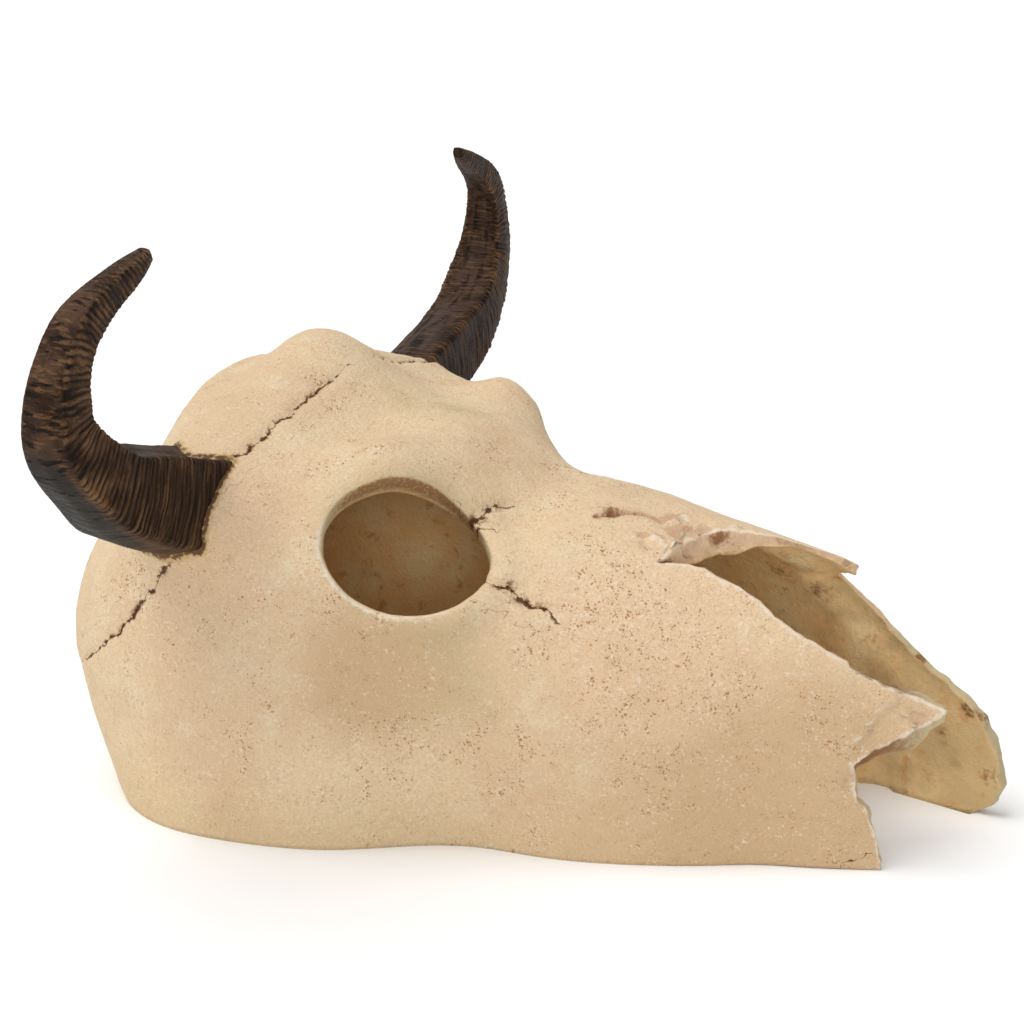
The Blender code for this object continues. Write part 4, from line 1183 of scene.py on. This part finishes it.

# %% [markdown]
# ## Painted resin
# The bone colour is several thin layers of paint: cream, washed with tan in broad patches, with
# brown rubbed into the pores and cracks and a pale dry brush over the raised edges. Some layers are
# painted shade: a darker tan low on the sides and under the eyes, olive and brown on the sockets'
# upper walls, and dark brown below the horns, along the spike's lower edge and in the crevice. The
# inside is bare resin, yellower and stained, and darker at the nose, partly as painted shade. Each
# layer is a mask that mixes one colour over the last, worked out from noise in object coordinates or
# from the attributes.


# %% Arithmetic on nodes
class Field:
    """What a node gives at each point. Arithmetic on it adds the node that works out the result."""

    def __init__(self, paint, socket):
        self.paint = paint
        self.socket = socket

    def __add__(self, other):
        return self.paint.math("ADD", self, other)

    def __sub__(self, other):
        return self.paint.math("SUBTRACT", self, other)

    def __mul__(self, other):
        return self.paint.math("MULTIPLY", self, other)

    def __truediv__(self, other):
        return self.paint.math("DIVIDE", self, other)


print("fields can be added, subtracted, multiplied and divided")


# %% A small tool for materials
class Paint:
    """Builds a material's nodes by calls that read from the inside out."""

    def __init__(self, name):
        self.material = bpy.data.materials.new(name)
        self.material.use_nodes = True
        self.tree = self.material.node_tree
        self.shader = self.tree.nodes["Principled BSDF"]
        self.place = Field(self, self.tree.nodes.new("ShaderNodeTexCoord").outputs["Object"])

    def node(self, kind, output, links, **settings):
        """One output of a new node with settings; links give its inputs, as fields or values."""
        made = self.tree.nodes.new("ShaderNode" + kind)
        for key, value in settings.items():
            setattr(made, key, value)
        for key, value in links.items():
            if isinstance(value, Field):
                self.tree.links.new(value.socket, made.inputs[key])
            else:
                made.inputs[key].default_value = value
        return Field(self, made.outputs[output])

    def attribute(self, name, output="Fac"):
        """Value that the mesh holds for each point."""
        return self.node("Attribute", output, {}, attribute_name=name)

    def axis(self, name):
        """Object coordinate along X, Y or Z, in metres."""
        return self.node("SeparateXYZ", name, {0: self.place})

    def math(self, operation, *values):
        """Arithmetic on one or two values."""
        return self.node("Math", 0, dict(enumerate(values)), operation=operation)

    def greater(self, first, second):
        """The greater of two values."""
        return self.math("MAXIMUM", first, second)

    def shaken(self, size, amount):
        """Object coordinates moved by a noise of a size, by up to an amount, both in mm."""
        links = {"Vector": self.place, "Scale": 1 / (size * MM), "Detail": 0.0}
        moves = self.node("TexNoise", "Color", links)
        centred = self.node("VectorMath", 0, {0: moves, 1: (0.5, 0.5, 0.5)}, operation="SUBTRACT")
        scaled = self.node("VectorMath", 0, {0: centred, "Scale": amount * MM}, operation="SCALE")
        return self.node("VectorMath", 0, {0: self.place, 1: scaled}, operation="ADD")

    def noise(self, size, detail=3.0, roughness=0.55):
        """Noise from 0 to 1 whose features are about a size in mm."""
        links = {"Vector": self.place, "Scale": 1 / (size * MM), "Detail": detail, "Roughness": roughness}
        return self.node("TexNoise", "Fac", links)

    def uneven(self, name, size, amount, detail):
        """An attribute plus a noise about nought, of a size in mm and an amount."""
        return self.attribute(name) + (self.noise(size, detail) - 0.5) * amount

    def cells(self, size, place):
        """Distance to the nearest of scattered points about a size in mm apart, in that size."""
        return self.node("TexVoronoi", "Distance", {"Vector": place, "Scale": 1 / (size * MM)})

    def between(self, value, low, high, first=0.0, last=1.0):
        """Smooth change from first to last as a value goes from low to high."""
        links = {"Value": value, "From Min": low, "From Max": high, "To Min": first, "To Max": last}
        return self.node("MapRange", "Result", links, interpolation_type="SMOOTHSTEP")

    def over(self, share, below, above):
        """One colour mixed over another by a share."""
        below, above = [colour if isinstance(colour, Field) else (*colour, 1) for colour in (below, above)]
        return self.node("Mix", 2, {"Factor": share, 6: below, 7: above}, data_type="RGBA")

    def layer(self, below, above, value, low, high, first=0.0, last=1.0):
        """One colour over another, by a share from first to last as a value goes from low to high."""
        return self.over(self.between(value, low, high, first, last), below, above)

    def bump(self, height, distance):
        """Normal tilted by a height from 0 to 1, for a distance in mm."""
        links = {"Height": height, "Distance": distance * MM, "Strength": 1.0}
        return self.node("Bump", "Normal", links)

    def finish(self, colour, roughness, normal, gloss):
        """Wire the colour, roughness and normal into the shader, and set its gloss."""
        self.shader.inputs["Specular IOR Level"].default_value = gloss
        for name, value in (("Base Color", colour), ("Roughness", roughness), ("Normal", normal)):
            self.tree.links.new(value.socket, self.shader.inputs[name])
        return self.material


print("paint tool ready")

# %% Bone colours
CREAM = (0.815, 0.63, 0.405)
TAN = (0.70, 0.49, 0.305)
PINK = (0.79, 0.555, 0.36)
IVORY = (0.82, 0.69, 0.47)
OLIVE = (0.56, 0.455, 0.255)
RIM = (0.72, 0.56, 0.33)
PAINTED_SHADE_TAN = (0.62, 0.425, 0.245)
CHALK = (0.88, 0.77, 0.62)
PORE = (0.38, 0.165, 0.055)
STAIN = (0.24, 0.10, 0.035)
CRACK = (0.055, 0.019, 0.007)
RUST = (0.20, 0.075, 0.024)
BREAK = (0.62, 0.41, 0.26)
OLIVE_BREAK = (0.47, 0.39, 0.225)
SOCKET_SHADE_BROWN = (0.34, 0.22, 0.10)
ROOT_SHADE_AND_STAIN = (0.10, 0.035, 0.014)
OCHRE = (0.52, 0.36, 0.13)
INSIDE = (0.98, 0.76, 0.41)
INSIDE_BROWN = (0.96, 0.63, 0.29)
INSIDE_DARK = (0.60, 0.30, 0.11)
INSIDE_FRONT_SHADE = (0.64, 0.45, 0.22)
BONE_ROUGHNESS = (0.6, 0.8)
BONE_BUMP = 0.5           # in mm
BONE_GLOSS = 0.12
print("cream:", CREAM, "tan:", TAN)


# %% Washes, pits and cracks
def washes(p):
    """The broad washes: cream with patches of tan, pink and ivory, olive near the rim, and a darker tan as
    painted shade low on the sides and under the eyes.
    """
    colour = p.layer(CREAM, TAN, p.noise(34), 0.42, 0.60, 0, 0.5)
    colour = p.layer(colour, IVORY, p.noise(9, 4), 0.50, 0.70, 0, 0.55)
    tone = p.uneven("tone", 14, 1.6, 4)
    colour = p.layer(colour, PINK, tone, 0.1, 1.0, 0, 0.85)
    colour = p.layer(colour, OLIVE, tone, -1.0, -0.15, 0.85, 0)
    low = p.axis("Z") + p.noise(15) * 0.022
    colour = p.layer(colour, RIM, low, 0.012, 0.026, 0.7, 0)
    # painted shade: a darker tan low on the sides and under the eyes
    return p.layer(colour, PAINTED_SHADE_TAN, p.uneven("painted_shade", 20, 1.2, 5), 0.0, 1.0, 0, 0.9)


def pore_marks(p, outside):
    """Pits: small ones nearly everywhere, large ones in clusters. Both are irregular, since their
    cells are read at shaken places. The share of clusters is given too."""
    cluster = p.between(p.noise(8, 4, 0.6) + p.attribute("porous") * 0.22, 0.47, 0.74)
    large_size = p.between(p.noise(1.5, 2), 0.32, 0.70, -0.06, 0.40) + cluster * 0.10
    large = p.between(p.cells(0.62, p.shaken(0.5, 0.42)) - large_size, -0.18, 0.08, 1, 0)
    small_size = p.between(p.noise(2.4, 3, 0.7), 0.40, 0.66, -0.06, 0.38)
    small = p.between(p.cells(0.42, p.shaken(0.4, 0.16)) - small_size, -0.16, 0.10, 1, 0)
    return p.greater(large * p.between(cluster, 0.0, 0.7), small * 0.55) * outside, cluster


def crack_marks(p):
    """A crack's dark line, 1 on it and 0 off it, and the rust beside it."""
    across = p.attribute("crack_across") + (p.noise(0.9, 3, 0.7) - 0.5) * 1.1
    half_width = p.attribute("crack_width")
    here = p.between(half_width, 0.02, 0.06)
    uneven = p.between(p.noise(2.2), 0.38, 0.62, 0.12, 1.35)
    near = p.math("ABSOLUTE", across) / (half_width * uneven + 0.001)
    rust = p.between(near, 1.0, 3.4, 0.9, 0) * p.between(p.noise(1.3), 0.38, 0.56)
    return p.between(near, 0.6, 1.3, 1, 0) * here, rust * here


print("layers: washes, pits, cracks")


# %% Broken resin, sockets, inside, stains and painted shade
def broken_resin(p, colour, ruled):
    """The bare resin where the surface is broken, torn or chipped: a pink brown with stains, olive at the
    spike, and dark along the spike's lower edge, which is painted shade below it as well as staining."""
    broken, lengthwise = p.attribute("broken"), p.attribute("lengthwise")
    torn = p.greater(p.between(p.attribute("crevice"), 0.25, 0.6), broken * 0.75)
    spike = p.between(lengthwise, 0.86, 0.89) * broken
    bare = p.layer(BREAK, STAIN, p.noise(2.6, 5), 0.53, 0.66, 0, 0.7)
    colour = p.over(torn, colour, p.over(spike, bare, OLIVE_BREAK))
    # painted shade and staining: dark brown along the underside of the spike's lower edge
    under = p.between(p.axis("Z"), 0.019, 0.022) * p.between(p.axis("Y"), -0.008, -0.004, 1, 0)
    under = under * p.between(lengthwise + ruled * 0.06, 0.905, 0.950, 0.9, 0)
    colour = p.over(spike * under, colour, STAIN)
    chip = p.attribute("chip") + ruled * 0.5
    colour = p.layer(colour, BREAK, chip, -0.45, -0.15, 0.8, 0)
    return p.layer(colour, CHALK, chip, 0.10, 0.40, 0, 0.6)


def socket_shade_paint(p, colour, grain):
    """The sockets' upper walls and the roll into them: olive and brown as painted shade, stippled with
    brown stains.
    """
    socket = p.attribute("socket")
    # olive and brown on the sockets' upper walls and roll: painted shade
    colour = p.over(socket * 0.75, colour, OLIVE)
    colour = p.layer(colour, SOCKET_SHADE_BROWN, socket, 0.3, 1.0, 0, 0.6)
    return p.layer(colour, STAIN, socket + (grain - 0.5) * 1.6, 0.70, 1.0, 0, 0.75)


def inside_colour(p):
    """The bare resin of the hollow: yellow, stained brown in patches, and darker at the nose, partly as
    painted shade.
    """
    colour = p.layer(INSIDE, INSIDE_BROWN, p.noise(11, 5, 0.6), 0.34, 0.60)
    # darker towards the nose: partly painted shade
    colour = p.layer(colour, INSIDE_FRONT_SHADE, p.uneven("lengthwise", 7, 0.3, 5), 0.78, 0.94)
    return p.layer(colour, INSIDE_DARK, p.noise(4, 5, 0.7), 0.54, 0.72, 0, 0.8)


def stains(p, colour, ruled):
    """Brown stains in spots and in drawn lines, and dark brown in the crevice under its edge, which is
    painted shade as well as staining.
    """
    colour = p.layer(colour, STAIN, p.attribute("spot") + ruled * 1.5, 0.30, 0.85, 0, 0.9)
    drawn = p.attribute("drawn_line") * p.between(p.noise(2.5, 4), 0.36, 0.58, 0.1, 0.95)
    colour = p.over(drawn, colour, STAIN)
    # in the crevice under its edge: painted shade as well as staining
    deep = p.between(p.attribute("crevice"), 0.6, 0.95) * p.between(p.noise(3), 0.45, 0.6)
    return p.over(deep, colour, STAIN)


print("layers: broken resin, sockets, inside, stains")


# %% Bone finish
def bone_material():
    """Resin painted as weathered bone, layer by layer from the washes to the stains."""
    p = Paint("bone")
    inside = p.attribute("inside")
    outside = p.between(inside, 0.0, 0.4, 1, 0)
    grain = p.noise(0.7, 4, 0.7)
    fine = p.noise(0.32, 3, 0.7)
    ruled = p.noise(1.5, 4, 0.7) - 0.5
    marks, cluster = pore_marks(p, outside)
    line, rust = crack_marks(p)
    colour = p.layer(washes(p), TAN, grain, 0.33, 0.55, 0.55, 0)
    chalky = p.greater(p.between(p.noise(5.5, 4, 0.65), 0.48, 0.66, 0.30, 0.95), cluster * 0.9)
    colour = p.over(p.between(grain, 0.52, 0.66, 0, 0.8) * chalky, colour, CHALK)
    colour = p.over(p.between(fine, 0.55, 0.70, 0, 0.36) * outside, colour, PORE)
    colour = p.over(marks * 0.85, colour, PORE)
    colour = broken_resin(p, colour, ruled)
    worn = p.between(p.attribute("edge_gap") + ruled * 2.6, -0.1, 0.9, 0.8, 0) * p.attribute("worn")
    colour = p.over(worn * p.between(inside, 0.0, 0.25, 1, 0), colour, CHALK)
    colour = socket_shade_paint(p, colour, grain)
    colour = p.layer(colour, inside_colour(p), inside, 0.5, 0.95)
    colour = stains(p, colour, ruled)
    colour = p.over(rust, colour, RUST)
    colour = p.over(line * 0.88, colour, CRACK)
    # at the horn roots: an ochre streak, then dark brown that is painted shade below the horn as well as
    # staining
    root = p.uneven("root_shade_and_stain", 0.9, 1.1, 4)
    colour = p.layer(colour, OCHRE, root, 0.22, 0.48, 0, 0.6)
    colour = p.layer(colour, ROOT_SHADE_AND_STAIN, root, 0.50, 0.78, 0, 0.9)
    height = grain * 0.8 + p.noise(2.2, 2) * 0.7 + fine * p.between(inside, 0.0, 0.4, 0.35, 0)
    roughness = p.between(p.noise(3), 0.3, 0.7, *BONE_ROUGHNESS)
    return p.finish(colour, roughness, p.bump(height, BONE_BUMP), BONE_GLOSS)


skull.data.materials.append(bone_material())
print("bone nodes:", len(skull.data.materials[0].node_tree.nodes))

# %% [markdown]
# ## The horns
# Each horn has a grooved front face, a trough along its inner side and a smooth outer face, with
# ridges where they meet. Grooves cross the front face about every 1.4 mm. The rings of the horn
# start where the horn leaves the skull's wall, so its root ends inside the wall.

# %% Where a horn leaves the skull
RIB_STEP = 1.4
RIB_DEPTH = 0.42
ROOT_DEPTH = 2.0          # how far a horn's root lies under the skull's surface
ROOT_PATCH = ((0.12, 0.48), (0.1, 0.8))   # the part of the surface around a root, in u and in v
PATCH_LINES = 70
FAR = 60.0                # a distance that no point of a root has to that part, in mm
ROOT_SOFTENING = 4        # sides over which the root's edge is evened out
LENGTH_SAMPLES = 600
# Angles around a horn, in degrees from its front: half width and fade of the ribbed front face, place
# and spread of the ridge on each side of it, and place, half width and fade of the inner trough.
FRONT_FACE = (60, 14)
SIDE_RIDGE = (46, 10)
BACK_RIDGE_SPREAD = 13
TROUGH = (268, 34, 14)
SLATE_PLACE = (0.38, 0.24)    # middle and reach, along the horn, of the slate grey on its outer face
TIP_LENGTH = 0.125        # the tip's cap stands out by this share of the last eight rings' length
STREAK_RADIUS = 4.0       # the streaks are read on a straight rod of this radius, in mm
THICK_HORN = 8.0          # half width in mm at which the ribs have their full depth
THIN_SHARE = 0.25         # and the share of it that they keep at the tip
HORN_INSET = 0.1          # the grooved horn lies this far inside the solid one, but for its ribs


def root_start(mirror):
    """Share of the axis at which each side of the horn leaves the skull's wall."""
    u = np.linspace(*ROOT_PATCH[0], PATCH_LINES)[:, None]
    v = np.linspace(*ROOT_PATCH[1], PATCH_LINES)[None, :]
    grid = surface(u, v, lips=False)
    normal = unit(np.cross(np.gradient(grid, axis=0), np.gradient(grid, axis=1)).reshape(-1, 3))
    depth = nearest_distance(root_points[mirror].reshape(-1, 3), grid.reshape(-1, 3), FAR, normal)
    clear = depth.reshape(root_points[mirror].shape[:2]) > -ROOT_DEPTH
    start = root_shares[np.argmax(clear, axis=0)]
    turns = range(-ROOT_SOFTENING, ROOT_SOFTENING + 1)
    return sum(np.roll(start, turn) for turn in turns) / len(turns)


root_starts = {mirror: root_start(mirror) for mirror in (1, -1)}
print("the left horn starts at shares of its axis:", np.round(np.sort(root_starts[1])[[0, -1]], 3))


# %% Horn mesh
def horn_mesh_data(mirror):
    """Points and attributes of a horn, as a left one: rings spaced evenly along it, with its ribs,
    streaks and trough lines as small moves of the section's radius."""
    fine = np.linspace(0, 1, LENGTH_SAMPLES)
    centre = horn_frame(fine)[0]
    travelled = running(np.linalg.norm(np.diff(centre, axis=0), axis=1))
    first = np.interp(root_starts[mirror], fine, travelled)
    share = np.linspace(0, 1, HORN_RINGS + 1)[:, None]
    length = first[None] * (1 - share) + travelled[-1] * share
    t = np.interp(length, travelled, fine)
    angle = np.broadcast_to(np.arange(HORN_SIDES) * 360 / HORN_SIDES, length.shape)
    wrapped = np.abs((angle + 180) % 360 - 180)
    radians = np.radians(angle)
    round_rod = STREAK_RADIUS * np.cos(radians), STREAK_RADIUS * np.sin(radians)
    streak_place = np.stack([length, *round_rod], axis=-1)
    # Where the ribs show: all over the front face, on the ridges, and here and there elsewhere.
    front = np.clip((FRONT_FACE[0] - wrapped) / FRONT_FACE[1], 0, 1)
    back_ridge = falloff((angle - BACK_ANGLE[mirror]) / BACK_RIDGE_SPREAD)
    ridge = np.maximum(falloff((wrapped - SIDE_RIDGE[0]) / SIDE_RIDGE[1]), 0.9 * back_ridge)
    ridge *= np.clip((t - 0.30) / 0.12, 0.35, 1)
    trough = np.clip((TROUGH[1] - np.abs(angle - TROUGH[0])) / TROUGH[2], 0, 1)
    elsewhere = 0.18 + 0.55 * np.clip(noise(streak_place, 7.0, shift=3.0), 0, 1) * (1 - trough)
    share_of_ribs = np.maximum(np.maximum(front, 0.9 * ridge), elsewhere)
    # The ribs themselves: a rounded wave along the horn that wanders and varies in height.
    wander = 0.55 * noise(streak_place * [0.8, 0.7, 0.7], 3.2) + 0.35 * noise(streak_place, 1.5, shift=9.0)
    phase = (length + 1.0 * np.sin(radians) + wander) / RIB_STEP
    rib = 1 - np.abs(2 * (phase - np.floor(phase)) - 1) ** 1.5
    rib *= 0.55 + 0.5 * noise(streak_place * [0.7, 0.9, 0.9], 2.2, shift=2.0)
    # The move is less where the horn is thin: ribs, fine streaks, broad lumps and trough lines.
    streak = noise(streak_place * [1, 0.30, 0.30], 0.75, shift=4.0)
    thick = np.clip(HORN_HALF(t) / THICK_HORN, THIN_SHARE, 1)
    move = RIB_DEPTH * share_of_ribs * thick * (rib - 0.4)
    move += 0.20 * share_of_ribs * streak * thick
    move += 0.30 * noise(streak_place, 9.0, shift=6.0) * thick
    lines = noise(streak_place * [0.12, 2.2, 2.2], 2.0, shift=8.0)
    move += 0.25 * trough * lines * thick
    slate_middle, slate_reach = SLATE_PLACE
    slate = np.clip(1 - ((t - slate_middle) / slate_reach) ** 2, 0, 1) * np.clip((wrapped - 56) / 16, 0, 1)
    slate *= np.clip((170 - angle) / 30, 0, 1)
    sections = horn_points(t, mirror)
    outwards = unit(sections - horn_frame(t)[0])
    points = sections + outwards * (move[..., None] - HORN_INSET)
    values = {"rib": rib * share_of_ribs + 0.3 * streak * share_of_ribs, "front": front,
              "trough": trough, "ridge": ridge, "slate": slate, "along": t, "horn_place": streak_place}
    return points, values


horn_data = {mirror: horn_mesh_data(mirror) for mirror in (1, -1)}
print("attributes of a horn:", list(horn_data[1][1]))


# %% Horn pieces
def horn_piece(name, mirror):
    """Closed horn: the rings, a cap at the root and one at the tip. The right horn is the left one
    mirrored, with its faces turned round so that they still point out."""
    points, values = horn_data[mirror]
    side_count = points.shape[1]
    ids = np.arange(points[..., 0].size).reshape(points.shape[:2])
    wrap = np.concatenate([ids, ids[:, :1]], axis=1)
    skin = np.stack([wrap[:-1, :-1], wrap[:-1, 1:], wrap[1:, 1:], wrap[1:, :-1]], axis=-1).reshape(-1, 4)
    root, tip = ids.size, ids.size + 1
    root_cap = np.stack([wrap[0, 1:], wrap[0, :-1], np.full(side_count, root)], axis=-1)
    tip_cap = np.stack([wrap[-1, :-1], wrap[-1, 1:], np.full(side_count, tip)], axis=-1)
    centres = np.stack([points[0].mean(axis=0), points[-1].mean(axis=0)])
    centres[1] += TIP_LENGTH * (points[-1].mean(axis=0) - points[-8].mean(axis=0))
    everything = np.concatenate([points.reshape(-1, 3), centres]) * [1, mirror, 1]
    filled = {label: np.concatenate([v.reshape(-1, *v.shape[2:]), v[0].mean(axis=0)[None],
                                     v[-1].mean(axis=0)[None]]) for label, v in values.items()}
    groups = [skin, root_cap, tip_cap]
    if mirror < 0:
        groups = [group[:, ::-1] for group in groups]
    return make_piece(name + "_grooved", everything, groups, filled, [name])


horns = [horn_piece("horn_left", 1), horn_piece("horn_right", -1)]

# %% Horn finish
HORN_BLACK = (0.007, 0.0035, 0.002)
HORN_BROWN = (0.078, 0.040, 0.022)
HORN_DARK = (0.026, 0.011, 0.005)
HORN_GOLD_AND_HIGHLIGHT = (0.19, 0.10, 0.042)
HORN_SLATE = (0.016, 0.018, 0.016)
HORN_PLUM_SHEEN = (0.062, 0.038, 0.032)
HORN_ROUGHNESS = (0.42, 0.58)
HORN_BUMP = 0.34          # in mm
HORN_GLOSS = 0.10


def streaky(p, stretch, per_mm, detail, roughness):
    """Noise in the horn's own places, in mm along it and across it, stretched by three factors."""
    place = p.node("Mapping", "Vector", {"Vector": p.attribute("horn_place", "Vector"), "Scale": stretch})
    links = {"Vector": place, "Scale": per_mm, "Detail": detail, "Roughness": roughness}
    return p.node("TexNoise", "Fac", links)


def horn_material():
    """Dark resin, gold brown on its raised ribs and ridges, partly brushed paint and partly painted
    highlight, and black between the ribs, partly painted shade.
    """
    p = Paint("horn")
    rib, front, trough = p.attribute("rib"), p.attribute("front"), p.attribute("trough")
    along, ridge = p.attribute("along"), p.attribute("ridge")
    streaks = streaky(p, (1.0, 0.22, 0.22), 1.7, 4.0, 0.65)
    cuts = streaky(p, (1.0, 0.30, 0.30), 1.15, 2.0, 0.5)
    lines = streaky(p, (0.10, 1.0, 1.0), 1.1, 4.0, 0.6)
    patchy = p.noise(8, 5, 0.6)
    fine = p.noise(0.9, 4, 0.7)
    colour = p.layer(HORN_DARK, HORN_BROWN, patchy, 0.40, 0.60)
    colour = p.over(front * p.between(along, 0.30, 0.45, 0.9, 0.3), colour, HORN_DARK)
    # purple grey in the trough: a painted sheen
    plum_sheen = trough * p.between(along, 0.20, 0.36, 0.9, 0.5)
    colour = p.over(plum_sheen * p.between(lines, 0.40, 0.60), colour, HORN_PLUM_SHEEN)
    colour = p.over(trough * p.between(lines, 0.40, 0.56, 0.8, 0), colour, HORN_BLACK)
    slate = p.attribute("slate") + (patchy - 0.5) * 1.2
    colour = p.layer(colour, HORN_SLATE, slate, 0.15, 0.6, 0, 0.85)
    # gold brown on the raised ribs: brushed paint and a painted highlight
    amount = p.between(front, 0.0, 0.8, 0.35, 0.8) * p.between(along, 0.28, 0.48, 0.75, 1)
    amount = amount * p.between(patchy, 0.34, 0.62, 0.35, 1.1)
    colour = p.over(p.between(rib + (streaks + fine) * 0.8, 1.15, 1.75) * amount, colour, HORN_GOLD_AND_HIGHLIGHT)
    dusty = p.between(streaks, 0.50, 0.66, 0, 0.6) * p.between(front, 0.2, 0.8, 1, 0.3)
    colour = p.over(dusty * p.between(slate, 0.15, 0.5, 1, 0.15), colour, HORN_GOLD_AND_HIGHLIGHT)
    # gold along the ridges: wear and a painted highlight
    worn = ridge * p.between(fine + rib * 0.25, 0.46, 0.70, 0, 0.9)
    colour = p.over(worn * p.between(patchy, 0.36, 0.60, 0.4, 1), colour, HORN_GOLD_AND_HIGHLIGHT)
    # black between the ribs: dark paint and painted shade
    grooves = p.between(rib + streaks * 0.6, 0.34, 0.66, 0.95, 0)
    colour = p.over(grooves * p.greater(front, ridge * 0.8), colour, HORN_BLACK)
    cut = p.between(cuts, 0.36, 0.42, 0.9, 0) * p.between(front, 0.2, 0.8, 1, 0)
    colour = p.over(cut * p.between(trough, 0.0, 0.5, 1, 0), colour, HORN_BLACK)
    roughness = p.between(patchy, 0.3, 0.7, *HORN_ROUGHNESS)
    return p.finish(colour, roughness, p.bump(streaks + fine * 0.7 - cut, HORN_BUMP), HORN_GLOSS)


horn_finish = horn_material()
for horn in horns:
    horn.data.materials.append(horn_finish)
print("horn nodes:", len(horn_finish.node_tree.nodes))
